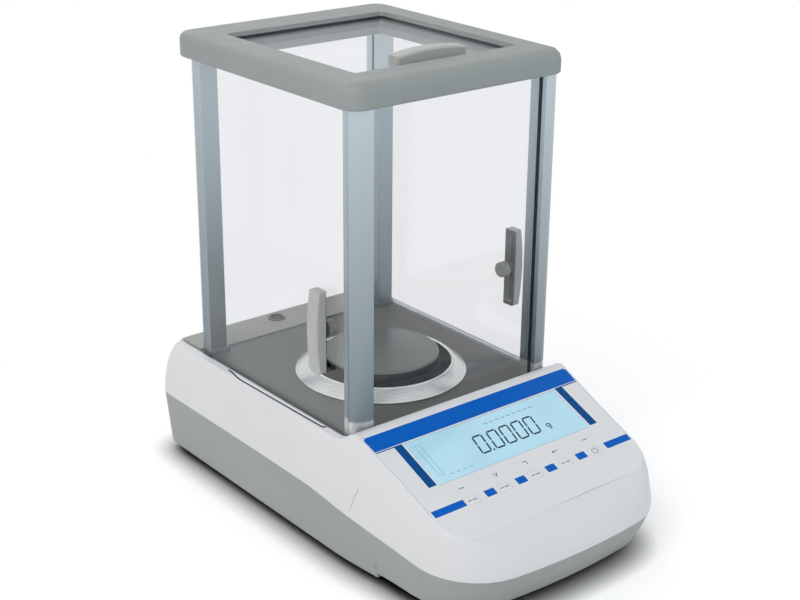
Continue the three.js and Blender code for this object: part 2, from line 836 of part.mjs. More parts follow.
// Draught shield

// Section of a front post on the given side, with the rebate for the door's edge, grown by a clearance.
function frontSection(side, clearance) {
  const r = postCornerRadius + clearance;
  const cx = postLip - postCornerRadius;
  const cy = postFrontY + postCornerRadius;
  const stop = doorFrontY - gap + clearance;
  const end = Math.asin((stop - cy) / r);
  const inner = postInner - clearance;
  const outer = postOuter + clearance;
  const rear = postRearY + clearance;
  const points = [[inner, rear], [inner, postFrontY - clearance]];
  const steps = 6;
  for (let i = 0; i <= steps; i++) {
    const a = lerp(-Math.PI / 2, end, i / steps);
    points.push([cx + r * Math.cos(a), cy + r * Math.sin(a)]);
  }
  points.push([outer, stop], [outer, rear]);
  return points.map(([x, y]) => [side * x, y]);
}

function frontPost(side) {
  return post(frontSection(side, 0), side, postInner, frontGlassY);
}

function rearPost(side) {
  const r = rearPostCornerRadius;
  const points = [
    [rearPostInner, rearPostRearY], [rearPostInner, rearPostFrontY], [postOuter, rearPostFrontY],
  ];
  const steps = 4;
  for (let i = 0; i <= steps; i++) {
    const a = (i / steps) * (Math.PI / 2);
    points.push([postOuter - r + r * Math.cos(a), rearPostRearY - r + r * Math.sin(a)]);
  }
  return post(points.map(([x, y]) => [side * x, y]), side, rearPostInner, rearGlassY);
}

// A post of the given section, with the groove that holds the fixed pane.
function post(points, side, inner, glassY) {
  const body = plate(polygon(points), deckHeight - postSeat, frameBottom + postPocket);
  const reach = span(side, inner - 2, inner + gripRoom);
  const groove = box(...reach, glassY - paneRoom, glassY + paneRoom, deckHeight - postSeat - 1, frameTop);
  return carve(body, [groove]);
}

// An angle of two thin walls round the foot of a post, as far as the fixed pane.
function postShoe(side, inner, front, glassY) {
  const edge = inner - gap - shoeWall;
  const rear = glassY - glassThickness / 2 - gap;
  const body = box(
    ...span(side, edge, postOuter), front - gap - shoeWall, rear, deckLine, deckLine + shoeHeight,
  );
  const room = box(...span(side, inner - gap, half), front - gap, rear + 5, deckLine - 5, frameBottom);
  return carve(body, [room]);
}

function topFrame() {
  const r = frameEdgeRadius;
  const levels = [[1, frameBottom], [0, frameBottom + 1], [0, frameTop - r]];
  const steps = 3;
  for (let i = 1; i <= steps; i++) {
    const a = (i / steps) * (Math.PI / 2);
    levels.push([r * (1 - Math.cos(a)), frameTop - r * (1 - Math.sin(a))]);
  }
  const body = roundedBlock(frameWidth / 2, frameFrontY, frameRearY, frameCornerRadius, levels);
  const w = openingWidth / 2;
  const grip = w + topGlassGrip + gap;
  const t = paneRoom;
  const cuts = [
    plate(roundedRect(-w, w, openingFrontY, openingRearY, 3), frameBottom - 5, frameTop + 5, 3),
    box(-grip, grip, topGlassFrontY - gap, frameRearY + 5, topGlassHeight - t, topGlassHeight + t),
    paneGroove(postInner, frontGlassY, frameBottom - 1, frameBottom + fixedGlassGrip + gap),
    paneGroove(rearPostInner, rearGlassY, frameBottom - 1, frameBottom + fixedGlassGrip + gap),
  ];
  for (const side of [-1, 1]) {
    const low = frameBottom - 1;
    cuts.push(...postPockets(side, low, frameBottom + postPocket + gap));
    cuts.push(box(
      ...span(side, doorPlane - t, doorPlane + t), doorFrontY - gap, frameRearY + 5, low,
      frameBottom + doorRebate + gap,
    ));
  }
  return carve(body, cuts);
}

function fixedPane(inner, y) {
  const w = inner + fixedGlassGrip;
  const t = glassThickness / 2;
  return box(-w, w, y - t, y + t, glassFoot, frameBottom + fixedGlassGrip);
}

function sideDoor(side, handleY) {
  const t = glassThickness / 2;
  const x = side * doorPlane;
  const pane = box(x - t, x + t, doorFrontY, doorRearY, glassFoot, frameBottom + doorRebate);
  const hole = cylinder(stemRadius + gap, 0, 0, -5, 5, 16).rotateY(Math.PI / 2);
  return carve(pane, [hole.translate(x, handleY, handleHeight)]);
}

function topDoor() {
  const t = glassThickness / 2;
  const w = openingWidth / 2 + topGlassGrip;
  const pane = box(-w, w, topGlassFrontY, topGlassRearY, topGlassHeight - t, topGlassHeight + t);
  const hole = cylinder(stemRadius + gap, 0, topHandleY, topGlassHeight - 5, topGlassHeight + 5, 16);
  return carve(pane, [hole]);
}

// An arched grip, hollow towards the glass, along X with the glass below it.
function handle() {
  const h = handleLength / 2;
  const edge = 1.2;
  const crown = 2 * handleRise - handleEndRise;
  const shape = new THREE.Shape();
  shape.moveTo(-h + edge, gap + edge);
  shape.lineTo(h - edge, gap + edge);
  shape.lineTo(h - edge, handleEndRise - edge);
  shape.quadraticCurveTo(0, crown - edge, -h + edge, handleEndRise - edge);
  const grip = new THREE.ExtrudeGeometry(shape, {
    depth: handleWidth - 2 * edge,
    bevelThickness: edge,
    bevelSize: edge,
    bevelSegments: 1,
    curveSegments: 8,
  });
  grip.rotateX(Math.PI / 2).translate(0, handleWidth / 2 - edge, 0);
  const inner = handleWidth / 2 - 2;
  const shell = carve(grip, [box(-h + 3, h - 3, -inner, inner, -1, handleEndRise - 2)]);
  const stem = cylinder(stemRadius + 1.6, 0, 0, gap, handleEndRise, 16);
  return carve(shell, [cylinder(stemRadius + gap, 0, 0, -1, handleEndRise - 1, 16)], [stem]);
}

// A round nut with its stem, on the other side of the glass.
function knob() {
  const face = -glassThickness - gap;
  const top = handleEndRise - 1 - gap;
  const profile = [
    [0, face - knobDepth], [knobRadius - 0.8, face - knobDepth], [knobRadius, face - knobDepth + 0.8],
    [knobRadius, face], [stemRadius, face], [stemRadius, top], [0, top],
  ];
  return turned(profile, 0, 0, 0, 16);
}

// A door's handle and knob stand on a group turned so that its Z points out of the glass.
function addHandle(prefix, x, y, z, turn) {
  const group = new THREE.Group();
  group.position.set(x, y, z);
  group.rotation.set(...turn);
  balance.add(group);
  addPiece(prefix + "_handle", handle(), "handle", group);
  addPiece(prefix + "_knob", closed(knob()), "handle", group);
}

const outerGlass = doorPlane + glassThickness / 2;
for (const [word, side] of [["left", -1], ["right", 1]]) {
  addPiece("post_front_" + word, frontPost(side), "aluminium");
  addPiece("post_rear_" + word, rearPost(side), "aluminium");
  addPiece("shoe_front_" + word, postShoe(side, postInner, postFrontY, frontGlassY), "deck");
  addPiece("shoe_rear_" + word, postShoe(side, rearPostInner, rearPostFrontY, rearGlassY), "deck");
}
addPiece("top_frame", topFrame(), "frame");
addPiece("front_glass", fixedPane(postInner, frontGlassY), "glass");
addPiece("rear_glass", fixedPane(rearPostInner, rearGlassY), "glass");
addPiece("left_door", sideDoor(-1, leftHandleY), "glass");
addPiece("right_door", sideDoor(1, rightHandleY), "glass");
addPiece("top_door", topDoor(), "glass");
addHandle("left", -outerGlass, leftHandleY, handleHeight, [0, -Math.PI / 2, 0]);
addHandle("right", outerGlass, rightHandleY, handleHeight, [0, Math.PI / 2, 0]);
addHandle("top", 0, topHandleY, topGlassHeight + glassThickness / 2, [0, 0, 0]);

// Keypad and display

function overlay() {
  const sheet = plate(filmOutline(0), -foil, 0);
  const cuts = [panelBox(
    -windowWidth / 2 - gap, windowWidth / 2 + gap, windowStart - gap, windowStart + windowLength + gap, -5, 5,
  )];
  for (const x of keyPlaces()) cuts.push(plate(keyOutline(x, gap), -5, 5, 3));
  return carve(sheet, cuts);
}

function keyCap(x) {
  const cap = plate(keyOutline(x, 0), -foil, 0.4, 3);
  return carve(cap, [], [cylinder(keyStem, x, -keyRow, -keypadDepth + keyTravel + gap, -foil / 2, 10)]);
}

const panel = new THREE.Group();
panel.position.set(0, crestY, crestHeight);
panel.rotation.x = panelSlope;
balance.add(panel);
addPiece("panel_overlay", overlay(), "overlay", panel);
addPiece("display_window", panelBox(
  -windowWidth / 2, windowWidth / 2, windowStart, windowStart + windowLength, -windowThickness, 0,
), "display", panel);
addPiece("display_module", panelBox(
  -windowWidth / 2 - 2, windowWidth / 2 + 2, windowStart - 2, windowStart + windowLength + 2,
  -wall - gap - displayDepth, -wall - gap,
), "board", panel);
addPiece("keypad_board", panelBox(
  -keypadWidth / 2, keypadWidth / 2, keyRow - keypadLength / 2, keyRow + keypadLength / 2,
  -keypadDepth - boardThickness, -keypadDepth,
), "board", panel);
["print", "mode", "calibrate", "tare", "power"].forEach((word, i) => {
  addPiece("key_" + word, keyCap(keyPlaces()[i]), "key", panel);
});

// Base fittings

function knurledWheel(x, y) {
  const flutes = 14;
  const shape = new THREE.Shape();
  const steps = flutes * 2;
  for (let i = 0; i < steps; i++) {
    const a = (i / steps) * 2 * Math.PI;
    const r = i % 2 === 0 ? wheelRadius : wheelRadius - 1.1;
    const point = [r * Math.cos(a), r * Math.sin(a)];
    if (i === 0) shape.moveTo(...point);
    else shape.lineTo(...point);
  }
  shape.closePath();
  const low = padThickness + gap;
  const wheel = plate(shape, low, low + wheelThickness).translate(x, y, 0);
  const screw = cylinder(screwRadius, x, y, low + 1, low + wheelThickness + screwLength, 14);
  return carve(wheel, [], [screw]);
}

function footPad(x, y) {
  const r = padRadius;
  const profile = [[0, 0], [r - 1, 0], [r, 1], [r, padThickness], [0, padThickness]];
  return turned(profile, x, y, 0, 18);
}

function housingScrew(x, y) {
  const top = screwSeat - gap;
  const head = top - screwHeadHeight;
  const profile = [
    [0, head], [screwHeadRadius, head], [screwHeadRadius, top], [screwHole - gap, top],
    [screwHole - gap, screwTip], [0, screwTip],
  ];
  return turned(profile, x, y, 0, 12);
}

function hookCover() {
  const rim = wall / 2 - 2 * gap + 0.2;
  const plug = coverRadius - coverLip - gap;
  const profile = [[0, 0], [coverRadius, 0], [coverRadius, rim], [plug, rim], [plug, wall], [0, wall]];
  return turned(profile, 0, panCentreY, underside + 0.1, 28);
}

function socket({ x, width, height, hole }) {
  const body = box(
    x - width / 2, x + width / 2, socketBackY, socketFaceY,
    socketHeight - height / 2, socketHeight + height / 2,
  );
  const mouth = hole.round
    ? cylinder(hole.width / 2, 0, 0, -socketMouth, socketMouth, 20).rotateX(Math.PI / 2)
    : box(
      -hole.width / 2, hole.width / 2, -socketMouth, socketMouth, -hole.height / 2, hole.height / 2,
    );
  return carve(body, [mouth.translate(x, socketFaceY, socketHeight)]);
}

footPlaces().forEach(([x, y], i) => {
  const word = ["front_left", "front_right", "rear_left", "rear_right"][i];
  addPiece("wheel_" + word, knurledWheel(x, y), "black");
  addPiece("pad_" + word, closed(footPad(x, y)), "black");
});
columnPlaces().forEach(([x, y], i) => {
  const word = ["front_left", "front_right", "rear_left", "rear_right"][i];
  addPiece("screw_" + word, closed(housingScrew(x, y)), "steel");
});
addPiece("hook_cover", closed(hookCover()), "base");
for (const s of sockets) addPiece(s.name, socket(s), "black");
addPiece("main_board", box(
  -boardWidth / 2, boardWidth / 2, boardCentreY - boardLength / 2, boardCentreY + boardLength / 2,
  boardHeight, boardHeight + boardThickness,
), "board");

export default balance;
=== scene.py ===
"""A laboratory analytical balance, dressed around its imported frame.

Lengths are metres. +X points right, the keypad faces -Y and +Z is up. The origin lies on the table under the
middle of the balance.
"""

import logging
import math
from dataclasses import dataclass, field
from enum import Enum
from typing import Iterable, Sequence

import bmesh
import bpy
import numpy
from mathutils import Matrix, Vector
from mathutils.bvhtree import BVHTree
from mathutils.geometry import convex_hull_2d


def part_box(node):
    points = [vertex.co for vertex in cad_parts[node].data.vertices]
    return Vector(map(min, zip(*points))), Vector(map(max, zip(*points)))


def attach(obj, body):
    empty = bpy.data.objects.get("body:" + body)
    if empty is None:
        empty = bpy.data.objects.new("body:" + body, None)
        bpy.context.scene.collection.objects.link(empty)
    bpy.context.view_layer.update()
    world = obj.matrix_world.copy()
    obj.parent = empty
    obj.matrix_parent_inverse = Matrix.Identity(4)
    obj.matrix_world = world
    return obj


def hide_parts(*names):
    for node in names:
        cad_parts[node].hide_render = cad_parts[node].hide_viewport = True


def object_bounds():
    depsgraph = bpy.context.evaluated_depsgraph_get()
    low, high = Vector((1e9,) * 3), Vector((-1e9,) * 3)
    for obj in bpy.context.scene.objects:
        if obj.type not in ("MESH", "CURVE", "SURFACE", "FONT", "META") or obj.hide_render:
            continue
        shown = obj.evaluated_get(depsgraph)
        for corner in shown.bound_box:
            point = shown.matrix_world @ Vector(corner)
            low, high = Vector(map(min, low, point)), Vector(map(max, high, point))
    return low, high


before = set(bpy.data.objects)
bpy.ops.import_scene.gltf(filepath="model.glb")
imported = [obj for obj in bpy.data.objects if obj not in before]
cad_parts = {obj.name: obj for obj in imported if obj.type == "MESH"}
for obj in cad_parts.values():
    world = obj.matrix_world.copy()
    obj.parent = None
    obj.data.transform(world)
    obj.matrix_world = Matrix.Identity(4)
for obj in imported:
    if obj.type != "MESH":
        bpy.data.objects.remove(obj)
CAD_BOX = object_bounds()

LOG = logging.getLogger("balance")
MM = 0.001
GAP = 0.1 * MM
ALONG_STREAK = 0.006
SIDES = ("left", "right")
Colour = tuple[float, float, float]
Pair = tuple[float, float]
Material = bpy.types.Material
Piece = bpy.types.Object
Socket = bpy.types.NodeSocket


def srgb(*shown: int) -> Colour:
    """Turn a colour of 0 to 255 a channel, as a screen shows it, into a linear one.

    Args:
        shown: Red, green and blue.

    Returns:
        The linear colour.
    """
    shares = (value / 255 for value in shown)
    return tuple(s / 12.92 if s <= 0.04045 else ((s + 0.055) / 1.055) ** 2.4 for s in shares)


class Direction(Enum):
    """The way in which a metal was brushed, as the scale of its grain along each axis."""

    ALONG_X = (ALONG_STREAK, 1.0, 1.0)
    ALONG_Y = (1.0, ALONG_STREAK, 1.0)
    ALONG_Z = (1.0, 1.0, ALONG_STREAK)


class Nodes:
    """The node tree of a material or a world, with short calls that add and join its nodes."""

    def __init__(self, name: str, world: bool = False) -> None:
        """Make an empty material or world.

        Args:
            name: Its name.
            world: Whether it is a world.
        """
        self.owner = (bpy.data.worlds if world else bpy.data.materials).new(name)
        self.owner.use_nodes = True
        self.tree = self.owner.node_tree
        self.tree.nodes.clear()
        self.output = self.add("OutputWorld" if world else "OutputMaterial")

    def add(
        self, kind: str, inputs: dict[str | int, object] | None = None, **settings: object
    ) -> bpy.types.Node:
        """Add a node.

        Args:
            kind: The node's type, without its ShaderNode prefix.
            inputs: What each input gets: a value, a socket, or a node for that node's first output.
            settings: Attributes of the node, such as operation.

        Returns:
            The node.
        """
        node = self.tree.nodes.new("ShaderNode" + kind)
        for key, value in settings.items():
            setattr(node, key, value)
        for key, value in (inputs or {}).items():
            socket = node.inputs[key]
            if isinstance(value, bpy.types.Node):
                value = value.outputs[0]
            if isinstance(value, Socket):
                self.tree.links.new(value, socket)
            else:
                socket.default_value = (*value, 1) if socket.type == "RGBA" else value
        return node

    def place(self, stretch: Colour = (1, 1, 1)) -> Socket:
        """Give object coordinates, scaled along each axis.

        Args:
            stretch: Scale along X, Y and Z.

        Returns:
            The coordinates' socket.
        """
        coordinates = self.add("TexCoord").outputs["Object"]
        return self.add("Mapping", {"Scale": stretch, "Vector": coordinates}).outputs["Vector"]

    def noise(self, scale: float, detail: float, place: Socket | None = None) -> Socket:
        """Give a noise.

        Args:
            scale: Waves a metre.
            detail: Number of finer layers.
            place: Its coordinates. By default they are the object's.

        Returns:
            The noise's factor.
        """
        inputs = {"Scale": scale, "Detail": detail, "Vector": place or self.place()}
        return self.add("TexNoise", inputs).outputs["Fac"]

    def remap(
        self, source: Socket, to: Pair = (0, 1), span: Pair = (0.3, 0.7), **settings: object
    ) -> Socket:
        """Spread a span of values over a range.

        Args:
            source: The values.
            to: What the ends of the span become.
            span: The span. By default it is the middle of a noise.
            settings: Attributes of the node.

        Returns:
            The new value.
        """
        names = ("Value", "From Min", "From Max", "To Min", "To Max")
        return self.add("MapRange", dict(zip(names, (source, *span, *to))), **settings).outputs["Result"]

    def tone(self, noise: Socket, colour: Colour, darken: float, lighten: float = 0) -> Socket:
        """Let a noise darken and lighten a colour.

        Args:
            noise: The noise.
            colour: The colour.
            darken: Share that the darkest places lose.
            lighten: Share that the lightest places gain.

        Returns:
            The colour's socket.
        """
        dark, light = (tuple(min(1.0, c * (1 + k)) for c in colour) for k in (-darken, lighten))
        inputs = {"A": dark, "B": light, "Factor": self.remap(noise)}
        return self.add("Mix", inputs, data_type="RGBA").outputs["Result"]

    def relief(self, height: Socket, depth: float, strength: float) -> Socket:
        """Turn a height into a bumped normal.

        Args:
            height: The height's socket.
            depth: The relief's depth in metres.
            strength: How strongly it shows.

        Returns:
            The normal's socket.
        """
        inputs = {"Height": height, "Distance": depth, "Strength": strength}
        return self.add("Bump", inputs).outputs["Normal"]

    def seen(self) -> Socket:
        """Tell the rays that show the backdrop: the camera's, and those in metal and through glass.

        Returns:
            A value of 1 for such a ray, or 0.
        """
        path = self.add("LightPath").outputs
        seen = path["Is Camera Ray"]
        for name in ("Is Glossy Ray", "Is Transmission Ray"):
            seen = self.add("Math", {0: seen, 1: path[name]}, operation="MAXIMUM").outputs[0]
        return seen

    def surface(self, **inputs: object) -> Material:
        """Show a principled shader, with its inputs by name and _ for a space."""
        return self.show(self.add("BsdfPrincipled", {k.replace("_", " "): v for k, v in inputs.items()}))

    def show(self, shader: bpy.types.Node) -> Material | bpy.types.World:
        """Join a shader to the output and give the material or world."""
        self.tree.links.new(shader.outputs[0], self.output.inputs["Surface"])
        return self.owner


@dataclass(frozen=True)
class Finish:
    """A finish of the balance, of which the method make builds the material."""

    name: str
    colour: Colour


@dataclass(frozen=True)
class Moulding(Finish):
    """Moulded plastic or paint: a fine grain, with a faint drift of tone."""

    roughness: float
    grain: float
    depth: float
    drift: float

    def make(self) -> Material:
        """Build the material.

        Returns:
            The material.
        """
        nodes = Nodes(self.name)
        return nodes.surface(
            Base_Color=nodes.tone(nodes.noise(9, 4), self.colour, 2 * self.drift, self.drift),
            Roughness=nodes.remap(nodes.noise(60, 5), (self.roughness - 0.05, self.roughness + 0.07)),
            Normal=nodes.relief(nodes.noise(self.grain, 2), self.depth, 0.35),
            Specular_IOR_Level=0.45,
        )


@dataclass(frozen=True)
class BrushedMetal(Finish):
    """Metal with a brushed grain, streaked along one direction."""

    direction: Direction
    roughness: float = 0.25
    streak: float = 900
    contrast: float = 0.12
    depth: float = 0.00002
    metallic: float = 1.0
    specular: float = 0.5

    def make(self) -> Material:
        """Build the material.

        Returns:
            The material.
        """
        nodes = Nodes(self.name)
        lines = nodes.noise(self.streak, 4, nodes.place(self.direction.value))
        return nodes.surface(
            Base_Color=nodes.tone(lines, self.colour, self.contrast, self.contrast / 2),
            Roughness=nodes.remap(lines, (self.roughness - 0.06, self.roughness + 0.08)),
            Normal=nodes.relief(lines, self.depth, 0.4),
            Metallic=self.metallic, Specular_IOR_Level=self.specular,
        )


@dataclass(frozen=True)
class SatinPost(Finish):
    """Satin anodised metal with a fine upright grain.

    Painted shade darkens its tone towards the deck, standing in for the darker surroundings that its lower
    part reflects; a front post ends in a pale cuff at its foot.
    """

    # foot is painted shade: the colour at the low end of the ramp
    foot: Colour
    toe: Colour
    low: float = 0.097
    high: float = 0.33
    toe_share: float = 0.056
    toe_blur: float = 0.006
    roughness: float = 0.4

    def make(self) -> Material:
        """Build the material.

        Returns:
            The material.
        """
        nodes = Nodes(self.name)
        height = nodes.add("SeparateXYZ", {"Vector": nodes.place()}).outputs["Z"]
        # painted shade: the ramp fades from foot, low down, to the lit colour higher up
        ramp = nodes.add("ValToRGB", {"Fac": nodes.remap(height, (0, 1), (self.low, self.high))})
        ends = ramp.color_ramp.elements
        ends[0].position, ends[0].color = self.toe_share - self.toe_blur, (*self.toe, 1)
        ends[1].position, ends[1].color = 1, (*self.colour, 1)
        ends.new(self.toe_share).color = (*self.foot, 1)
        lines = nodes.noise(900, 3, nodes.place(Direction.ALONG_Z.value))
        inputs = {"Factor": 1, "A": ramp, "B": nodes.remap(lines, (0.95, 1))}
        return nodes.surface(
            Base_Color=nodes.add(
                "Mix", inputs, data_type="RGBA", blend_type="MULTIPLY"
            ).outputs["Result"],
            Roughness=nodes.remap(lines, (self.roughness - 0.04, self.roughness + 0.05)),
            Normal=nodes.relief(lines, 0.00001, 0.35),
            Metallic=0.85,
        )


@dataclass(frozen=True)
class SpunMetal(Finish):
    """Polished metal turned on a lathe, with rings round a vertical axis."""

    centre: Vector
    roughness: float
    contrast: float = 0.06
    rings: float = 1500

    def make(self) -> Material:
        """Build the material.

        Returns:
            The material.
        """
        nodes = Nodes(self.name)
        place = nodes.add("TexCoord").outputs["Object"]
        offset = nodes.add("VectorMath", {0: place, 1: self.centre}, operation="SUBTRACT")
        split = nodes.add("SeparateXYZ", {"Vector": offset}).outputs
        flat = nodes.add("CombineXYZ", {"X": split["X"], "Y": split["Y"]})
        radius = nodes.add("VectorMath", {0: flat}, operation="LENGTH").outputs["Value"]
        line = nodes.add("CombineXYZ", {"X": radius, "Z": split["Z"]})
        rings = nodes.noise(self.rings, 4, line.outputs["Vector"])
        return nodes.surface(
            Base_Color=nodes.tone(rings, self.colour, self.contrast),
            Roughness=nodes.remap(rings, (self.roughness - 0.03, self.roughness + 0.04)),
            Normal=nodes.relief(rings, 0.000006, 0.3),
            Metallic=1.0,
        )


@dataclass(frozen=True)
class ClearPane(Finish):
    """Thin clear glass: what lies behind shows through a faint tint, under a clear reflection."""

    gloss: float = 0.02
    mirror: float = 0.045

    def make(self) -> Material:
        """Build the material.

        Returns:
            The material.
        """
        nodes = Nodes(self.name)
        haze = nodes.remap(nodes.noise(35, 4), (self.gloss / 2, self.gloss * 2))
        return nodes.show(nodes.add("MixShader", {
            "Fac": nodes.add("LayerWeight", {"Blend": self.mirror}).outputs["Facing"],
            1: nodes.add("BsdfTransparent", {"Color": self.colour}),
            2: nodes.add("BsdfGlossy", {"Color": (0.9, 0.93, 0.95), "Roughness": haze}),
        }))


@dataclass(frozen=True)
class Print(Finish):
    """Flat ink under the film of the keypad, with a trace of screen-print mottle."""

    roughness: float = 0.35

    def make(self) -> Material:
        """Build the material.

        Returns:
            The material.
        """
        nodes = Nodes(self.name)
        return nodes.surface(
            Base_Color=nodes.tone(nodes.noise(400, 3), self.colour, 0.1),
            Roughness=self.roughness,
            Normal=nodes.relief(nodes.noise(1500, 2), 0.00003, 0.25),
            Specular_IOR_Level=0.08,
        )


@dataclass(frozen=True)
class CrystalGlow(Finish):
    """The lit ground of a liquid crystal display, with a faint mottle in its tone."""

    glow: float = 0.22

    def make(self) -> Material:
        """Build the material.

        Returns:
            The material.
        """
        nodes = Nodes(self.name)
        tone = nodes.tone(nodes.noise(14, 2), self.colour, 0.12)
        return nodes.surface(
            Base_Color=tone, Roughness=0.12, Coat_Weight=0.4, Coat_Roughness=0.06,
            Emission_Color=tone, Emission_Strength=self.glow,
        )


def make_palette(pan_centre: Vector) -> dict[str, Material]:
    """Make each finish once.

    Args:
        pan_centre: The point on the table under the middle of the pan.

    Returns:
        The materials by name.
    """
    # the second colour is painted shade, the posts' colour low down
    post_top, post_painted_shade = srgb(193, 206, 212), srgb(128, 139, 145)
    mouldings = (
        ("shell", (226, 227, 229), 0.4, 1500, 0.00005, 0.012),
        ("base", (162, 167, 163), 0.5, 1100, 0.00009, 0.03),
        ("frame", (150, 156, 155), 0.55, 1300, 0.00006, 0.02),
        ("deck", (164, 166, 159), 0.5, 1300, 0.00005, 0.02),
        ("shoe", (198, 202, 204), 0.45, 1400, 0.00004, 0.02),
        ("handle", (180, 182, 179), 0.45, 1400, 0.00004, 0.02),
        ("knob", (142, 142, 138), 0.42, 1400, 0.00004, 0.02),
        # painted shade for the hollow backs and undersides of the handles
        ("handle_back", (78, 80, 78), 0.5, 1400, 0.00004, 0.02),
        ("black", (30, 31, 33), 0.5, 1200, 0.00006, 0.05),
        # painted shade: near black, for the disc and the ring's inside under the pan
        ("well", (17, 18, 18), 0.85, 1200, 0.00004, 0.05),
        ("pad", (22, 22, 23), 0.75, 700, 0.00012, 0.08),
        ("film", (230, 231, 233), 0.4, 1700, 0.00003, 0.012),
        # painted highlight for the bead along the film's edge
        ("film_rim", (243, 243, 243), 0.34, 1700, 0.00003, 0.012),
        ("board", (34, 92, 50), 0.4, 500, 0.00006, 0.1),
        ("magnet", (52, 53, 56), 0.5, 700, 0.00008, 0.08),
        ("seam", (138, 140, 141), 0.6, 900, 0.00003, 0.02),
        # painted shade for the walls of the sills' grooves
        ("groove", (44, 45, 46), 0.7, 900, 0.00003, 0.02),
        ("bezel", (112, 112, 107), 0.4, 900, 0.00003, 0.02),
        ("seal", (26, 27, 29), 0.55, 900, 0.00004, 0.05),
    )
    finishes = [
        *(Moulding(name, srgb(*shown), *rest) for name, shown, *rest in mouldings),
        SatinPost("post", post_top, post_painted_shade, post_painted_shade),
        SatinPost("post_front", post_top, post_painted_shade, srgb(208, 210, 210)),
        BrushedMetal("steel", srgb(200, 201, 199), Direction.ALONG_X),
        BrushedMetal("contact", srgb(214, 178, 96), Direction.ALONG_Y),
        BrushedMetal(
            "floor_plate", srgb(98, 101, 96), Direction.ALONG_X, 0.5, 1100, 0.05, 0.000008, 0.12, 0.2
        ),
        SpunMetal("spun", srgb(104, 109, 106), pan_centre, 0.3),
        # painted shade for the pan's skirt
        SpunMetal("spun_shade", srgb(40, 42, 41), pan_centre, 0.24),
        SpunMetal("spun_ring", srgb(218, 220, 218), pan_centre, 0.26),
        ClearPane("pane", (0.958, 0.96, 0.966)),
        ClearPane("pane_edge", (0.8, 0.84, 0.84), 0.08, 0.2),
        ClearPane("bubble_glass", (0.96, 0.97, 0.95)),
        Print("blue", srgb(0, 100, 200)),
        Print("navy", srgb(0, 80, 148)),
        Print("ink", srgb(88, 92, 100)),
        Print("digit", srgb(40, 58, 78)),
        Print("faint", srgb(134, 172, 194)),
        Print("liquid", srgb(62, 70, 46), 0.3),
        CrystalGlow("crystal", srgb(172, 215, 232)),
    ]
    return {finish.name: finish.make() for finish in finishes}


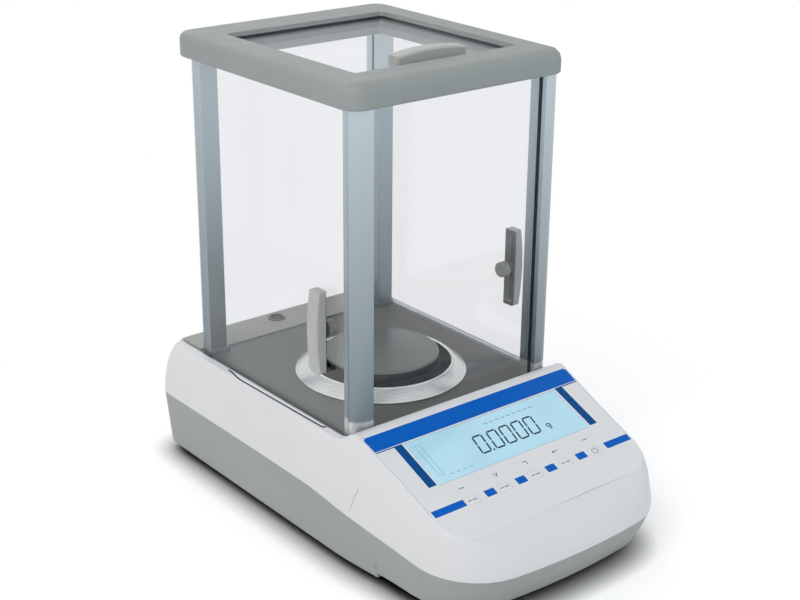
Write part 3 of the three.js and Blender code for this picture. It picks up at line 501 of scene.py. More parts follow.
class Shape:
    """A mesh under construction. Most calls give the shape itself, so that they can be chained."""

    def __init__(self, node: str | None = None) -> None:
        """Start a mesh, whose next faces go to the material slot that its attribute slot gives.

        Args:
            node: The node of the frame that it copies as one skin. By default it starts empty.
        """
        self.mesh = bmesh.new()
        self.slot = 0
        self.copied = node is not None
        if self.copied:
            self.mesh.from_mesh(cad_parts[node].data)
            parts = {"verts": self.mesh.verts, "edges": self.mesh.edges}
            bmesh.ops.remove_doubles(self.mesh, verts=self.mesh.verts, dist=2e-6)
            bmesh.ops.dissolve_limit(self.mesh, angle_limit=math.radians(0.6), **parts)

    def block(self, low: Sequence[float], high: Sequence[float]) -> "Shape":
        """Add a block.

        Args:
            low: Its lowest corner.
            high: Its highest corner.

        Returns:
            The shape itself.
        """
        low, high = Vector(low), Vector(high)
        matrix = Matrix.Translation((low + high) / 2) @ Matrix.Diagonal((*(high - low), 1))
        bmesh.ops.create_cube(self.mesh, size=1, matrix=matrix)
        return self

    def turn(self, profile: Iterable[Pair], origin: Vector, steps: int) -> "Shape":
        """Spin a profile about a vertical axis.

        Args:
            profile: Radius and height pairs, from one end to the other.
            origin: The point on the axis at height 0 of the profile.
            steps: Facets in the full turn.

        Returns:
            The shape itself.
        """
        before = set(self.mesh.faces)
        line = [self.mesh.verts.new(origin + Vector((r, 0, h))) for r, h in profile]
        edges = [self.mesh.edges.new(pair) for pair in zip(line, line[1:])]
        bmesh.ops.spin(
            self.mesh, geom=line + edges, cent=origin, axis=(0, 0, 1), angle=2 * math.pi,
            steps=steps, use_merge=True,
        )
        bmesh.ops.remove_doubles(self.mesh, verts=self.mesh.verts, dist=1e-6)
        for face in set(self.mesh.faces) - before:
            face.material_index = self.slot
        return self

    def outline(self, points: Sequence[Pair], levels: Pair) -> "Shape":
        """Raise a flat outline, given by its corners, into a plate between two heights."""
        return self.thicken([[self.mesh.verts.new((*point, levels[0])) for point in points]], levels)

    def ribbon(
        self, points: Sequence[Pair], width: float, levels: Pair, closed: bool = False
    ) -> "Shape":
        """Raise a line of even width, mitred at its corners.

        Args:
            points: The line's corners in X and Y.
            width: Its width.
            levels: Heights of its underside and top.
            closed: Whether the last corner joins the first.

        Returns:
            The shape itself.
        """
        line = [Vector(point) for point in points]
        pairs = []
        for i, here in enumerate(line):
            back = line[i - 1] if i or closed else here
            ahead = line[(i + 1) % len(line)] if i < len(line) - 1 or closed else here
            arrive = (here - back if back != here else ahead - here).normalized()
            leave = (ahead - here if ahead != here else here - back).normalized()
            along = (arrive + leave).normalized()
            side = Vector((-along.y, along.x)) * (width / 2 / max(0.5, along.dot(arrive)))
            pairs.append([self.mesh.verts.new((*(here + k * side), levels[0])) for k in (-1, 1)])
        ends = pairs[1:] + pairs[:1] if closed else pairs[1:]
        return self.thicken([(a[0], b[0], b[1], a[1]) for a, b in zip(pairs, ends)], levels)

    def thicken(self, outlines: list[Sequence[bmesh.types.BMVert]], levels: Pair) -> "Shape":
        """Fill flat outlines and raise them into a plate.

        Args:
            outlines: Corners of each face of its underside.
            levels: Heights of its underside and top.

        Returns:
            The shape itself.
        """
        faces = [self.mesh.faces.new(corners) for corners in outlines]
        raised = bmesh.ops.extrude_face_region(self.mesh, geom=faces, use_keep_orig=True)
        top = [item for item in raised["geom"] if isinstance(item, bmesh.types.BMVert)]
        bmesh.ops.translate(self.mesh, verts=top, vec=(0, 0, levels[1] - levels[0]))
        for face in {*faces, *(face for corner in top for face in corner.link_faces)}:
            face.material_index = self.slot
        return self

    def soften(self, width: float, angle: float = 30) -> "Shape":
        """Bevel the sharp edges.

        Args:
            width: The bevel's width.
            angle: Least angle between two faces, in degrees.

        Returns:
            The shape itself.
        """
        sharp = [
            e for e in self.mesh.edges
            if len(e.link_faces) == 2 and e.calc_face_angle(0) > math.radians(angle)
        ]
        bmesh.ops.bevel(
            self.mesh, geom=sharp, offset=width, affect="EDGES", segments=2, profile=0.5,
            material=-1, clamp_overlap=True,
        )
        return self

    def move(self, matrix: Matrix) -> "Shape":
        """Apply a transform to the whole shape."""
        bmesh.ops.transform(self.mesh, matrix=matrix, verts=self.mesh.verts)
        return self

    def finish(self, name: str, materials: Sequence[Material], smooth: float = 35) -> Piece:
        """Turn the shape into an object of the scene. Faces that it didn't copy are turned outwards.

        Args:
            name: The object's name.
            materials: Its material slots.
            smooth: Edges sharper than this many degrees stay sharp.

        Returns:
            The object.
        """
        if not self.copied:
            bmesh.ops.recalc_face_normals(self.mesh, faces=self.mesh.faces)
        data = bpy.data.meshes.new(name)
        self.mesh.to_mesh(data)
        self.mesh.free()
        for material in materials:
            data.materials.append(material)
        data.shade_smooth()
        data.set_sharp_from_angle(angle=math.radians(smooth))
        piece = bpy.data.objects.new(name, data)
        bpy.context.scene.collection.objects.link(piece)
        return piece


def arc(centre: Pair, radius: float, start: float, end: float, steps: int) -> list[Pair]:
    """Give the points of an arc.

    Args:
        centre: The arc's centre.
        radius: Its radius.
        start: Angle of its first point, in degrees.
        end: Angle of its last point, in degrees.
        steps: Number of steps between them.

    Returns:
        The points, first to last.
    """
    x, y = centre
    angles = [math.radians(start + (end - start) * i / steps) for i in range(steps + 1)]
    return [(x + radius * math.cos(a), y + radius * math.sin(a)) for a in angles]


def circle(centre: Pair, radius: float, count: int) -> list[Pair]:
    """Give the points of a circle, as many as count says."""
    return arc(centre, radius, 0, 360 - 360 / count, count - 1)


def rounded(low: Pair, high: Pair, radius: float, steps: int) -> list[Pair]:
    """Give the outline of a rectangle with round corners.

    Args:
        low: The lowest corner.
        high: The highest corner.
        radius: The corners' radius.
        steps: Steps in each corner.

    Returns:
        The outline's points.
    """
    left, front, right, rear = low[0] + radius, low[1] + radius, high[0] - radius, high[1] - radius
    corners = (right, rear, 0), (left, rear, 90), (left, front, 180), (right, front, 270)
    return [p for x, y, start in corners for p in arc((x, y), radius, start, start + 90, steps)]


def points_of(node: str, matrix: Matrix = Matrix.Identity(4)) -> list[Vector]:
    """Give the corners of a node of the frame, through a matrix."""
    return [matrix @ v.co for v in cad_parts[node].data.vertices]


def middle(node: str, z: float = 0) -> Vector:
    """Give the point at a height over the middle of a node."""
    low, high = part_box(node)
    return Vector(((low.x + high.x) / 2, (low.y + high.y) / 2, z))


def clamp(value: float, low: float, high: float) -> float:
    """Keep a value between two others."""
    return min(max(value, low), high)


@dataclass
class Assembly:
    """A group of pieces that take their finishes from one palette."""

    palette: dict[str, Material]

    def form(
        self, shape: Shape, name: str, finishes: str, slot: str, *replaced: str,
        body: str = "base", smooth: float = 35,
    ) -> Piece:
        """Finish a shape as a piece, hang it on a body of the frame and report it.

        Args:
            shape: The shape.
            name: The piece's name.
            finishes: Names of its finishes, in the order of its slots.
            slot: Not used.
            replaced: Nodes of the frame that it stands for.
            body: The body that it rides on.
            smooth: Edges sharper than this many degrees stay sharp.

        Returns:
            The piece.
        """
        piece = shape.finish(name, [self.palette[finish] for finish in finishes.split()], smooth)
        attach(piece, body)
        if replaced:
            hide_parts(*replaced)
        LOG.info("%s rides on %s", name, body)
        return piece

    def skin(
        self, node: str, finishes: str, slot: str, name: str | None = None, body: str = "base",
        bevel: float = 0.3 * MM, smooth: float = 32,
    ) -> Piece:
        """Dress a node in a copy of itself: one smooth skin with softened edges.

        Args:
            node: The node of the frame.
            finishes: Names of its finishes, in the order of its slots.
            slot: Handed on to form.
            name: The copy's name, if it isn't the node's name with _skin.
            body: The body that it rides on.
            bevel: Width of the softened edges.
            smooth: Edges sharper than this many degrees are softened.

        Returns:
            The copy.
        """
        name = name or node + "_skin"
        piece = self.form(Shape(node), name, finishes, slot, node, body=body, smooth=smooth)
        if bevel > 0:
            edge = piece.modifiers.new("edges", "BEVEL")
            edge.width, edge.segments = bevel, 2
            edge.limit_method, edge.angle_limit = "ANGLE", math.radians(smooth)
        weigh = piece.modifiers.new("normals", "WEIGHTED_NORMAL")
        weigh.keep_sharp = True
        weigh.weight = 60
        return piece


@dataclass
class Housing(Assembly):
    """The moulded upper housing on its painted base, with the fittings of both."""

    seam_width: float = 0.35 * MM
    seam_proud: float = 0.03 * MM
    seam_low: Pair = (-67.7 * MM, 50.5 * MM)
    seam_high: Pair = (-76 * MM, 71 * MM)
    seam_steps: int = 24

    def build(self) -> None:
        """Dress the housing."""
        for node, finishes, slot, edge in (
            ("upper_housing", "shell", "shell", 0.6), ("lower_base", "base", "base", 0.6),
            ("left_sill", "shell groove", "shell", 0.3), ("right_sill", "shell groove", "shell", 0.3),
            ("rear_deck", "deck", "deck", 0.3), ("chamber_floor", "floor_plate", "plate", 0.3),
            ("hook_cover", "base", "base", 0.2),
        ):
            piece = self.skin(node, finishes, slot, bevel=edge * MM)
            if node.endswith("_sill"):
                self.paint_groove_shade(piece.data, -1 if node.startswith("left") else 1)
        for node, finish in {
            "main_board": "board", "display_module": "board", "keypad_board": "board",
            "weigh_cell": "steel", "cell_lever": "steel", "cell_magnet": "magnet",
        }.items():
            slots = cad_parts[node].data.materials
            slots.clear()
            slots.append(self.palette[finish])
            LOG.info("%s is finished in %s", node, finish)
        for side, word in zip((-1, 1), SIDES):
            self.flank_line(side, word)

    def paint_groove_shade(self, data: bpy.types.Mesh, side: int) -> None:
        """Give painted shade to the walls of the groove that parts a sill from the shoulder.

        Args:
            data: The sill's skin.
            side: -1 for the left sill, 1 for the right one.
        """
        for face in data.polygons:
            face.material_index = int(abs(face.normal.z) < 0.8 and face.normal.x * side > -0.2)

    def flank_line(self, side: int, word: str) -> None:
        """Draw the fine line where the two halves of the moulding's tool met, up one flank.

        Args:
            side: -1 for the left flank, 1 for the right one.
            word: left or right.
        """
        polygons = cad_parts["upper_housing"].data.polygons
        skin = BVHTree.FromPolygons(points_of("upper_housing"), [p.vertices for p in polygons])
        low, high = Vector((0, *self.seam_low)), Vector((0, *self.seam_high))
        across = Vector((0, high.z - low.z, low.y - high.y)).normalized() * self.seam_width / 2
        away = Vector((side, 0, 0))
        shape = Shape()
        rows = []
        for i in range(self.seam_steps + 1):
            place = low.lerp(high, i / self.seam_steps) + away * CAD_BOX[1].x * 2
            hits = (skin.ray_cast(place + across * edge, -away)[0] for edge in (-1, 1))
            rows.append([shape.mesh.verts.new(hit + away * self.seam_proud) for hit in hits])
        for a, b in zip(rows, rows[1:]):
            shape.mesh.faces.new((a[0], a[1], b[1], b[0]))
        self.form(shape, "flank_line_" + word, "seam", "shell")


@dataclass
class DraughtShield(Assembly):
    """Posts, frame and panes round the weighing chamber."""

    seal_width: float = 1.2 * MM
    seal_reach: Pair = (0.05 * MM, 0.35 * MM)
    stop_reach: Pair = (0.26 * MM, 0.04 * MM)
    edge_round: float = 1.8
    edge_corner: float = 14 * MM
    edge_radius: float = 5 * MM
    round_ends: Pair = (100 * MM, 140 * MM)

    def build(self) -> None:
        """Dress the shield and its doors."""
        self.round_edge(self.skin("top_frame", "frame", "frame", bevel=0.5 * MM).data)
        for end, tone, finish in (("front", "post_front", "shoe"), ("rear", "post", "post")):
            for side in SIDES:
                self.skin(f"post_{end}_{side}", tone, "aluminium")
                self.skin(f"shoe_{end}_{side}", finish, "deck")
        for side in SIDES:
            self.seal(side)
            self.door_stop(side)
        for node in ("front_glass", "rear_glass", "left_door", "right_door", "top_door"):
            self.pane(node, node + "_body" if node.endswith("door") else "base")

    def round_edge(self, data: bpy.types.Mesh) -> None:
        """Give the frame's outer top edge its full round, which eases towards the rear.

        Args:
            data: The frame's skin.
        """
        low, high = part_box("top_frame")
        corner = self.edge_corner
        start, end = self.round_ends
        for vertex in data.vertices:
            place = vertex.co
            core = Vector((
                clamp(place.x, low.x + corner, high.x - corner),
                clamp(place.y, low.y + corner, high.y - corner), place.z,
            ))
            out = place - core
            drop, inset = high.z - place.z, corner - out.length
            if max(drop, inset) > self.edge_radius + GAP:
                continue
            grow = 1 + (self.edge_round - 1) * clamp((end - place.y) / (end - start), 0, 1)
            vertex.co = core + out.normalized() * (corner - grow * max(inset, 0))
            vertex.co.z = high.z - grow * drop

    def upright(self, side: str) -> Pair:
        """Give the heights between the shoe of a front post and the frame."""
        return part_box("shoe_front_" + side)[1].z + GAP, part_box("top_frame")[0].z - GAP

    def door_stop(self, side: str) -> None:
        """Line the rebate of a front post, so that no gap shows where the shut door meets it.

        Args:
            side: left or right.
        """
        low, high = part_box(side + "_door")
        foot, head = self.upright(side)
        front, rear = (low.y - reach for reach in self.stop_reach)
        shape = Shape().block((low.x + GAP, front, foot), (high.x - GAP, rear, head))
        self.form(shape.soften(0.03 * MM), "door_stop_" + side, "post_front", "aluminium")

    def seal(self, side: str) -> None:
        """Lay the black rubber strip that seals the front pane against a post.

        Args:
            side: left or right.
        """
        low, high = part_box("post_front_" + side)
        foot, head = self.upright(side)
        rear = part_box("front_glass")[0].y - GAP
        out, inner = (1, low.x) if side == "right" else (-1, high.x)
        left, right = sorted(inner - out * reach for reach in self.seal_reach)
        shape = Shape().block((left, rear - self.seal_width, foot), (right, rear, head))
        self.form(shape.soften(0.15 * MM), "seal_" + side, "seal", "black")

    def pane(self, node: str, body: str) -> None:
        """Make a pane with ground edges.

        Args:
            node: The pane's node.
            body: The body that it rides on.
        """
        piece = self.skin(node, "pane pane_edge", "glass", node + "_pane", body, 0)
        low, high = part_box(node)
        size = high - low
        thin = min(range(3), key=lambda axis: size[axis])
        for face in piece.data.polygons:
            face.material_index = int(abs(face.normal[thin]) <= 0.5)


@dataclass
class DoorFurniture(Assembly):
    """The arched handle outside and the round knob inside of each door."""

    bevel: float = 0.5 * MM
    smooth: float = 40

    def build(self) -> None:
        """Dress the handles and knobs."""
        for side, inward in (("left", (1, 0, 0)), ("right", (-1, 0, 0)), ("top", (0, 0, -1))):
            rest = ("handle", None, side + "_door_body", self.bevel, self.smooth)
            grip = self.skin(side + "_handle", "handle handle_back", *rest)
            # painted shade: faces that look towards the glass, and the top handle's underside, take the dark
            # second finish
            for face in grip.data.polygons:
                face.material_index = int(face.normal.dot(Vector(inward)) > 0.5)
            self.skin(side + "_knob", "knob", *rest)


@dataclass
class WeighingSystem(Assembly):
    """The polished pan on its carrier, in the draught ring."""

    sheet: float = 1.2 * MM
    flare: float = 9.5 * MM
    hole: float = 53 * MM
    well_bore: float = 10.2 * MM
    well_top: float = 0.25 * MM
    well_foot: float = 0.02 * MM
    skirt: float = 6 * MM
    rim: float = 1.6 * MM
    hub_bore: float = 5.1 * MM
    hub_wall: float = 2.2 * MM
    lip: float = 1.3 * MM

    def build(self) -> None:
        """Build the pan, the ring and what lies under them."""
        self.pan()
        self.ring()
        self.well()
        self.skin("pan_carrier", "steel", "steel", bevel=0.2 * MM)

    def well(self) -> None:
        """Lay a dark disc on the chamber's floor inside the ring: painted shade under the pan."""
        inner, outer = self.well_bore, self.hole - 0.3 * MM
        foot, top = self.well_foot, self.well_top
        profile = [(inner, foot), (outer, foot), (outer, top), (inner, top), (inner, foot)]
        origin = middle("weighing_pan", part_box("chamber_floor")[1].z)
        shape = Shape().turn(profile, origin, 96)
        self.form(shape, "ring_well", "well", "black", smooth=40)

    def pan(self) -> None:
        """Spin the pan: a flat dish with a rolled rim and a short skirt."""
        low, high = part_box("weighing_pan")
        origin = middle("weighing_pan", high.z)
        r = (high.x - low.x) / 2
        t, rim, bore = self.sheet, self.rim, self.hub_bore
        wall = bore + self.hub_wall
        hub = low.z - high.z
        profile = [(0, 0), (r - 5 * MM, 0), (r - 4.2 * MM, -0.15 * MM)]
        profile += arc((r - rim, -rim), rim, 90, 0, 8)
        profile += [(r, -self.skirt), (r - t, -self.skirt), (r - t, -t - rim), (r - t - rim, -t)]
        profile += [(wall, -t), (wall, hub), (bore, hub), (bore, -t), (0, -t)]
        shape = Shape().turn(profile, origin, 128)
        # painted shade: the skirt below the rolled rim takes the dark second finish
        for face in shape.mesh.faces:
            place = face.calc_center_median() - origin
            if math.hypot(place.x, place.y) > r - rim and place.z < -rim:
                face.material_index = 1
        self.form(shape, "pan", "spun spun_shade", "steel", "weighing_pan", body="pan_body", smooth=40)

    def ring(self) -> None:
        """Spin the ring: a tapered wall with a rolled lip and a flat foot."""
        low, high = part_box("draft_ring")
        origin = middle("draft_ring", low.z)
        r = (high.x - low.x) / 2
        height = high.z - low.z
        t, lip, hole = self.sheet, self.lip, self.hole
        wall = r - t * math.hypot(1, self.flare / height)
        profile = [(hole, 0), (r - 0.8 * MM, 0), (r, 0.5 * MM), (r - 0.6 * MM, 1.1 * MM)]
        profile += arc((r - self.flare - lip, height - lip), lip, 0, 180, 12)
        profile += [(wall - 2.4 * MM, t + 0.9 * MM), (wall - 4 * MM, t), (hole, t), (hole, 0)]
        shape = Shape().turn(profile, origin, 128)
        # painted shade: faces inside the ring's wall take the near-black second finish
        for face in shape.mesh.faces:
            place = face.calc_center_median() - origin
            inside = math.hypot(place.x, place.y) < r - self.flare * place.z / height - 1.2 * MM
            if inside and t / 2 < place.z < height - 1.4 * MM:
                face.material_index = 1
        self.form(shape, "ring", "spun_ring well", "steel", "draft_ring", body="ring_body", smooth=40)


@dataclass(frozen=True)
class Slope:
    """The keypad's sloping face, drawn on in millimetres: X, up the slope, and out of it.

    Its origin is the middle of the window's rear edge, so what lies on the face has a negative Y.
    """

    matrix: Matrix
    edge: tuple[Pair, ...]
    rim: tuple[Pair, ...]

    @classmethod
    def find(cls) -> "Slope":
        """Find the face from the window that lies flush in it, and its edge from the film.

        Returns:
            The slope.
        """
        corners = points_of("display_window")
        rear = max(corners, key=lambda corner: corner.z)
        front = min(corners, key=lambda corner: corner.y)
        up = Vector((0, rear.y - front.y, rear.z - front.z)).normalized()
        turn = Matrix(((1, 0, 0), up, Vector((1, 0, 0)).cross(up))).transposed().to_4x4()
        matrix = Matrix.Translation((0, rear.y, rear.z)) @ turn @ Matrix.Scale(MM, 4)
        film = points_of("panel_overlay", matrix.inverted())
        flat = sorted({(round(p.x, 2), round(p.y, 2)) for p in film if abs(p.z) < 0.05})
        rim = (flat[i] for i in convex_hull_2d([Vector(point) for point in flat]))
        return cls(matrix, tuple(sorted((y, x) for x, y in flat if x > 80)), tuple(rim))

    def side(self, y: float) -> float:
        """Give half the film's width at a place up the slope."""
        return float(numpy.interp(y, *zip(*self.edge)))


@dataclass
class Keypad(Assembly):
    """The film with its print, the display and the five keys. Its places are in millimetres."""

    slope: Slope = field(default_factory=Slope.find)
    ink: Pair = (0.012, 0.045)
    margin: float = 0.4
    bar_rear: float = 15.7
    bar_front: float = 1.5
    post_inner: float = 74
    post_outer: float = 81
    post_end: float = -40.8
    mark_row: float = -50.3
    row_rear: float = -59.0
    row_front: float = -64.8
    squares: tuple[float, ...] = (-42.3, -13.4, 15.3, 45.5)
    square_width: float = 9
    left_bar: Pair = (-93.6, -65.6)
    right_bar: float = 70.2
    digit_width: float = 9.3
    digit_height: float = 17.2
    digit_pitch: float = 11.7
    digit_stroke: float = 1.35
    digit_break: float = 0.16
    first_digit: float = -24
    digit_base: float = -31.1
    slant: float = 0.13
    rule: float = 0.9
    key_grow: float = 0.25

    def build(self) -> None:
        """Dress the keypad."""
        self.skin("panel_overlay", "film", "overlay", "film", bevel=0.08 * MM, smooth=40)
        self.skin("display_window", "crystal", "display", "crystal_plate", bevel=0.12 * MM)
        # The bead fills the gap round the film; its lighter tone is a painted highlight along the film's
        # edge.
        rim = [(x * 1.0016, y + (y + 40) * 0.0022) for x, y in self.slope.rim]
        bead = Shape().ribbon(rim, 0.26, (-0.6, -0.03), closed=True)
        self.lay(bead, "film_bead", "film_rim", "shell")
        self.print_bars()
        self.print_marks()
        self.print_display()
        for word in ("print", "mode", "calibrate", "tare", "power"):
            self.key("key_" + word)

    def lay(
        self, shape: Shape, name: str, finishes: str, slot: str, *replaced: str, body: str = "base"
    ) -> None:
        """Lay a drawn shape on the slope as a piece, as form does."""
        self.form(shape.move(self.slope.matrix), name, finishes, slot, *replaced, body=body)

    def print_bars(self) -> None:
        """Print the blue bands across the film and beside the keys."""
        places = [self.bar_rear, *(y for y, _ in self.slope.edge if 2 < y < 15.5), self.bar_front]
        right = [(self.slope.side(y) - self.margin, y) for y in sorted(places, reverse=True)]
        left = [(-x, y) for x, y in reversed(right)]
        blue = Shape().outline(right + left, self.ink)
        half = self.square_width / 2
        spans = [self.left_bar, (self.right_bar, self.slope.side(self.row_front) - self.margin)]
        for x0, x1 in spans + [(x - half, x + half) for x in self.squares]:
            blue.outline(rounded((x0, self.row_front), (x1, self.row_rear), 0.5, 3), self.ink)
        self.lay(blue, "blue_print", "blue", "overlay")
        navy = Shape()
        edge = self.slope.side(0) - self.margin
        for side in (-1, 1):
            for inner, outer, end in (
                (self.post_inner, self.post_outer, self.post_end), (self.post_outer, edge, 0),
            ):
                x0, x1 = sorted((side * inner, side * outer))
                navy.outline(rounded((x0, end), (x1, self.rule), 0.1, 2), self.ink)
        self.lay(navy, "navy_print", "navy", "overlay")

    def print_marks(self) -> None:
        """Print a small sign above each key."""
        marks = Shape()
        for width, line in (
            (0.6, [(-62, 0), (-57, 0)]), (0.55, [(-29.5, 1.6), (-27.9, -1.4), (-26.3, 1.6)]),
            (0.55, [(-1.6, 1.4), (1.4, 1.4), (1.4, -1.8)]), (0.55, [(26.6, 0), (31.4, 0)]),
            (0.5, [(28, 1.4), (26.6, 0), (28, -1.4)]), (0.6, [(57, 0), (62, 0)]),
        ):
            marks.ribbon([(x, self.mark_row + rise) for x, rise in line], width, self.ink)
        self.lay(marks, "sign_print", "ink", "overlay")

    def print_display(self) -> None:
        """Set the display's figures: a zero reading, its unit and the load bar."""
        digits = Shape()
        pen = self.first_digit
        for place in range(5):
            self.zero(digits, pen)
            pen += self.digit_pitch
            if place == 0:
                x, y = pen - 1.2, self.digit_base
                digits.outline(rounded((x, y), (x + 1.5, y + 1.5), 0.3, 2), self.ink)
                pen += 1.6
        self.unit(digits, (pen + 6.5, self.digit_base + 3.6))
        self.lay(digits, "digits", "digit", "display")
        faint = Shape()
        x, y = -66.5, -34.5
        faint.ribbon([(x, y), (x + 4, y), (x + 4, -5), (x, -5)], 0.3, self.ink, closed=True)
        dashes = [(x - 2.2, x - 1, y + i * 7.4, 0.3) for i in range(5)]
        dashes += [(x + 8 + i * 6, x + 11 + i * 6, -36.5, 0.6) for i in range(4)]
        dashes += [(-4 + i * 5.5, -0.6 + i * 5.5, -7.2, 0.7) for i in range(9)]
        for x0, x1, y, width in dashes:
            faint.ribbon([(x0, y), (x1, y)], width, self.ink)
        self.lay(faint, "faint_segments", "faint", "display")

    def zero(self, shape: Shape, left: float) -> None:
        """Draw one zero out of six segments.

        Args:
            shape: The shape that it is added to.
            left: X of its lower left corner.
        """
        w, h, t = self.digit_width, self.digit_height, self.digit_stroke
        bars = [((t / 2, y), (w - t / 2, y)) for y in (t / 2, h - t / 2)]
        bars += [
            ((x, low), (x, high))
            for x in (t / 2, w - t / 2)
            for low, high in ((t / 2, h / 2), (h / 2, h - t / 2))
        ]
        for start, end in bars:
            a, b = Vector(start), Vector(end)
            along = (b - a).normalized()
            side = Vector((-along.y, along.x)) * t / 2
            a, b = a + along * self.digit_break, b - along * self.digit_break
            nib = along * t / 2
            corners = (a, a + nib + side, b - nib + side, b, b - nib - side, a + nib - side)
            shape.outline(
                [(left + c.x + self.slant * c.y, self.digit_base + c.y) for c in corners], self.ink
            )

    def unit(self, shape: Shape, place: Pair) -> None:
        """Draw the unit, a small g.

        Args:
            shape: The shape that it is added to.
            place: Middle of its bowl.
        """
        x, y = place
        shape.ribbon(circle(place, 1.5, 16), 0.75, self.ink, closed=True)
        tail = [(x + 1.6, y + 1.7), (x + 1.6, y - 2), *arc((x + 0.2, y - 2), 1.4, 0, -140, 8)]
        shape.ribbon(tail, 0.75, self.ink)

    def key(self, node: str) -> None:
        """Make a key: a slightly raised pad of the film with its sign.

        Args:
            node: The key's node.
        """
        corners = points_of(node, self.slope.matrix.inverted())
        cap = [c for c in corners if c.z > 0]
        x0, x1 = min(c.x for c in cap), max(c.x for c in cap)
        y0, y1 = min(c.y for c in cap), max(c.y for c in cap)
        x, y, grow = (x0 + x1) / 2, (y0 + y1) / 2, self.key_grow
        edge = rounded((x0 - grow, y0 - grow), (x1 + grow, y1 + grow), (y1 - y0) / 2 + grow, 10)
        shape = Shape().outline(edge, (-0.6, 0.03)).soften(0.03, 40)
        shape.outline(circle((x, y), 2, 24), (min(c.z for c in corners), -0.5))
        if node == "key_power":
            signs = [(0.45, arc((x, y), 2.5, 120, 420, 24)), (0.45, [(x, y + 0.4), (x, y + 3.1)])]
        else:
            signs = [(0.6, [(x - 4, y), (x - 0.6, y)]), (0.6, [(x + 0.2, y), (x + 4, y)])]
        shape.slot = 1
        for width, line in signs:
            shape.ribbon(line, width, (0.04, 0.07))
        self.lay(shape, node + "_cap", "film ink", "key", node, body=node + "_body")


@dataclass
class SpiritLevel(Assembly):
    """The round level in the rear deck, with its bubble."""

    bubble: float = 1.7 * MM
    mark: float = 2.5 * MM
    drift: float = 0.4 * MM
    flat: float = 0.25

    def build(self) -> None:
        """Dress the level."""
        self.skin("level_bezel", "bezel", "black", "level_ring", bevel=0.2 * MM)
        self.skin("level_vial", "liquid", "liquid", "level_glass", bevel=0.15 * MM)
        x, y, top = middle("level_vial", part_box("level_vial")[1].z)
        line = circle((x, y), self.mark, 48)
        shape = Shape().ribbon(line, 0.25 * MM, (top, top + 0.05 * MM), closed=True)
        self.form(shape, "level_mark", "ink", "liquid")
        place = Matrix.Translation((x + self.drift, y, top - GAP))
        drop = Shape()
        bmesh.ops.create_uvsphere(
            drop.mesh, u_segments=32, v_segments=16, radius=self.bubble,
            matrix=place @ Matrix.Diagonal((1, 1, self.flat, 1)),
        )
        self.form(drop, "level_bubble", "bubble_glass", "liquid", smooth=60)


@dataclass
class Feet(Assembly):
    """The four levelling feet: a knurled wheel on a threaded rod, on a rubber pad."""

    knurls: int = 40
    knurl_depth: float = 0.6 * MM
    rod: float = 4 * MM
    thread: float = 0.6 * MM
    pitch: float = 1.25 * MM
    thickness: float = 5 * MM
    cross: Pair = (2.2 * MM, 0.4 * MM)

    def build(self) -> None:
        """Dress the feet and the screws that hold the housing."""
        for foot in ("front_left", "front_right", "rear_left", "rear_right"):
            pad = "pad_" + foot
            self.wheel(foot)
            self.skin(pad, "pad", "pad", pad + "_rubber", pad + "_body", 0.5 * MM)
            self.screw(foot)

    def wheel(self, foot: str) -> None:
        """Make one wheel with its rod.

        Args:
            foot: Which foot, such as front_left.
        """
        low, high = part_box("wheel_" + foot)
        origin = middle("wheel_" + foot)
        rim = []
        for i in range(2 * self.knurls):
            r = (high.x - low.x) / 2 - (i % 2) * self.knurl_depth
            a = math.pi * i / self.knurls
            rim.append((origin.x + r * math.cos(a), origin.y + r * math.sin(a)))
        z = top = low.z + self.thickness
        shape = Shape().outline(rim, (low.z, top))
        root, pitch = self.rod - self.thread, self.pitch
        rod = [(0, top - MM), (self.rod - 0.3 * MM, top - MM)]
        while z < high.z - 2 * pitch:
            rod += [(self.rod, z + pitch / 4), (self.rod, z + pitch / 2), (root, z + pitch * 0.85)]
            z += pitch
        rod += [(root, high.z - 0.4 * MM), (self.rod - MM, high.z), (0, high.z)]
        shape.slot = 1
        shape.turn(rod, origin, 40)
        self.form(
            shape, f"wheel_{foot}_knurled", "black steel", "black", "wheel_" + foot,
            body=f"wheel_{foot}_body", smooth=30,
        )

    def screw(self, foot: str) -> None:
        """Make one housing screw with a cross in its head.

        Args:
            foot: Which corner, such as front_left.
        """
        low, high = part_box("screw_" + foot)
        self.skin("screw_" + foot, "steel", "steel", bevel=0.25 * MM)
        x, y, _ = middle("screw_" + foot)
        foot_z, top = low.z - 0.03 * MM, low.z + 0.3 * MM
        shape = Shape()
        for dx, dy in (self.cross, self.cross[::-1]):
            shape.block((x - dx, y - dy, foot_z), (x + dx, y + dy, top))
        self.form(shape, "cross_" + foot, "black", "steel")


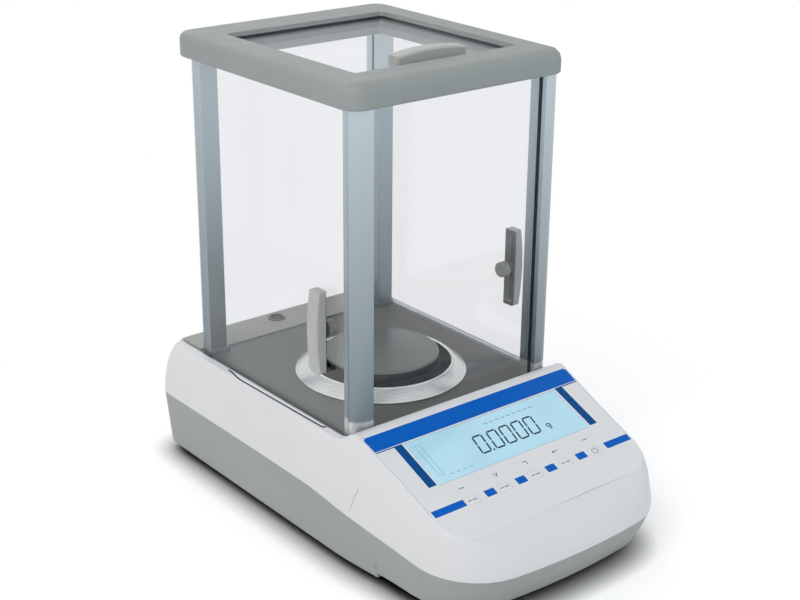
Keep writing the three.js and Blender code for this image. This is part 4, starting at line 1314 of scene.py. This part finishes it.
@dataclass
class Sockets(Assembly):
    """The power inlet, the serial socket and the square data socket at the rear.

    They are drawn in millimetres from the middle of their faces: X, upwards, and out of the rear.
    """

    shell_depth: float = -7
    pin_depth: float = -7.9

    def build(self) -> None:
        """Dress the sockets."""
        for node in ("power_inlet", "serial_socket", "usb_socket"):
            self.skin(node, "black", "black", node + "_body")
        shell = [(-8.9, 3.9), (8.9, 3.9), (7.4, -3.9), (-7.4, -3.9)]
        shape = Shape().ribbon(shell, 0.6, (self.shell_depth, 0.6), closed=True)
        for side in (-1, 1):
            shape.outline(circle((side * 12.9, 0), 2.3, 6), (-1, 1.6))
        pins = [
            circle(((i - (count - 1) / 2) * 2.75, row), 0.5, 12)
            for row, count in ((1.4, 5), (-1.4, 4)) for i in range(count)
        ]
        self.fit(shape, pins, -1.5, "serial_socket", "serial_shell", "steel contact")
        w, h, cut = 4.2, 3.7, 1.5
        shell = [(-w, -h), (w, -h), (w, h - cut), (w - cut, h), (-w + cut, h), (-w, h - cut)]
        shape = Shape().ribbon(shell, 0.5, (self.shell_depth, 0.4), closed=True)
        tongue = [(-2.7, -1.5), (2.7, -1.5), (2.7, 1.5), (-2.7, 1.5)]
        self.fit(shape, [tongue], -1, "usb_socket", "data_shell", "steel knob")
        shape = Shape().ribbon(circle((0, 0), 3.6, 48), 0.5, (self.shell_depth, 0.4), closed=True)
        pin = circle((0, 0), 1, 24)
        self.fit(shape, [pin], -1.2, "power_inlet", "power_sleeve", "knob contact")

    def fit(
        self, shape: Shape, pins: list[list[Pair]], tip: float, node: str, name: str, finishes: str
    ) -> None:
        """Fit a drawn shell with its pins to the face of a socket.

        Args:
            shape: The shell.
            pins: Outline of each pin.
            tip: Where the pins end.
            node: The socket's node.
            name: The fitted piece's name.
            finishes: Names of the finishes of the shell and the pins.
        """
        shape.slot = 1
        for pin in pins:
            shape.outline(pin, (self.pin_depth, tip))
        low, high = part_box(node)
        x, _, z = (low + high) / 2
        matrix = Matrix(((MM, 0, 0, x), (0, 0, MM, high.y), (0, MM, 0, z), (0, 0, 0, 1)))
        self.form(shape.move(matrix), name, finishes, "black")


@dataclass
class Studio:
    """Camera, lights, floor and backdrop."""

    azimuth: float = -39.13
    elevation: float = 21.68
    roll: float = 0.52
    focal: float = 68.1
    place: Colour = (-0.6682, -0.8126, 0.5808)
    room_light: float = 0.6
    near_floor: float = 0.22
    far_floor: float = 0.45
    floor_tone: float = 0.93
    floor_lift: float = 0.22
    contact_reach: float = 0.022
    contact_span: Pair = (0.25, 1)

    def build(self) -> None:
        """Set up the camera, the lights and the stage."""
        self.camera()
        self.room()
        self.floor()
        self.lamp("key", (-1.5, -0.6, 1.9), 0.15, 1.4, 18.5)
        self.lamp("fill", (0.9, -1.9, 1.1), 0.15, 1.4, 3.2, (0.35, 0.72, 1.0))
        self.lamp("back", (0.5, 1.8, 1.6), 0.2, 1.2, 4.5)

    def camera(self) -> None:
        """Place the camera as the photograph's was."""
        a, e, t = (math.radians(v) for v in (self.azimuth, self.elevation, self.roll))
        back = Vector((math.sin(a) * math.cos(e), -math.cos(a) * math.cos(e), math.sin(e)))
        right = Vector((math.cos(a), math.sin(a), 0))
        up = back.cross(right)
        rolled = (right * math.cos(t) + up * math.sin(t), up * math.cos(t) - right * math.sin(t))
        data = bpy.data.cameras.new("camera")
        data.lens = self.focal
        data.sensor_width = 36
        data.clip_start = 0.01
        camera = bpy.data.objects.new("camera", data)
        camera.matrix_world = (
            Matrix.Translation(self.place) @ Matrix((*rolled, back)).transposed().to_4x4()
        )
        scene = bpy.context.scene
        scene.collection.objects.link(camera)
        scene.camera = camera
        scene.view_settings.view_transform = "Standard"

    def lamp(
        self, name: str, place: Colour, aim: float, size: float, power: float,
        colour: Colour = (1, 1, 1),
    ) -> None:
        """Hang a soft square lamp.

        Args:
            name: The lamp's name.
            place: Where it hangs.
            aim: Height above the origin of what it points at.
            size: Length of its side.
            power: Its power in watts.
            colour: Its colour.
        """
        data = bpy.data.lights.new(name, "AREA")
        data.color = colour
        data.size = size
        data.energy = power
        lamp = bpy.data.objects.new(name, data)
        lamp.location = place
        line = Vector((0, 0, aim)) - Vector(place)
        lamp.rotation_euler = line.to_track_quat("-Z", "Y").to_euler()
        bpy.context.scene.collection.objects.link(lamp)

    def room(self) -> None:
        """Light the room softly, and show it white where it is seen."""
        nodes = Nodes("room", world=True)
        strength = nodes.remap(nodes.seen(), (self.room_light, 1), (0, 1))
        bpy.context.scene.world = nodes.show(
            nodes.add("Background", {"Color": (1, 1, 1), "Strength": strength})
        )

    def floor(self) -> None:
        """Lay a pale floor that keeps the object's shadow and runs out into the white backdrop; ambient
        occlusion paints extra contact shade on it near the object.
        """
        nodes = Nodes("pale_floor")
        # painted shade: ambient occlusion darkens the floor's colour and its lift near the object
        painted_contact_shade = nodes.add("AmbientOcclusion", {"Distance": self.contact_reach}, samples=16)
        shaded, lift = (
            nodes.remap(painted_contact_shade.outputs["AO"], (0, most), self.contact_span)
            for most in (1, self.floor_lift)
        )
        shown = nodes.add("AddShader", {
            0: nodes.add("BsdfDiffuse", {"Color": shaded}),
            1: nodes.add("Emission", {"Strength": lift}),
        })
        reach = nodes.add("VectorMath", {0: nodes.place()}, operation="LENGTH").outputs["Value"]
        ends = (self.near_floor, self.far_floor)
        fade = nodes.remap(reach, (0, 1), ends, interpolation_type="SMOOTHSTEP")
        view = nodes.add("MixShader", {"Fac": fade, 1: shown, 2: nodes.add("Emission")})
        lit = nodes.add("BsdfDiffuse", {"Color": (self.floor_tone,) * 3})
        both = nodes.add("MixShader", {"Fac": nodes.seen(), 1: lit, 2: view})
        shape = Shape()
        bmesh.ops.create_grid(shape.mesh, x_segments=1, y_segments=1, size=6)
        shape.finish("floor", [nodes.show(both)])


def main() -> None:
    """Build the balance and its studio."""
    logging.basicConfig(level=logging.INFO, format="%(message)s")
    palette = make_palette(middle("weighing_pan"))
    Studio().build()
    for part in (
        Housing, DraughtShield, DoorFurniture, WeighingSystem, Keypad, SpiritLevel, Feet, Sockets,
    ):
        part(palette).build()
        LOG.info("%s is done", part.__name__)


if __name__ == "__main__":
    main()
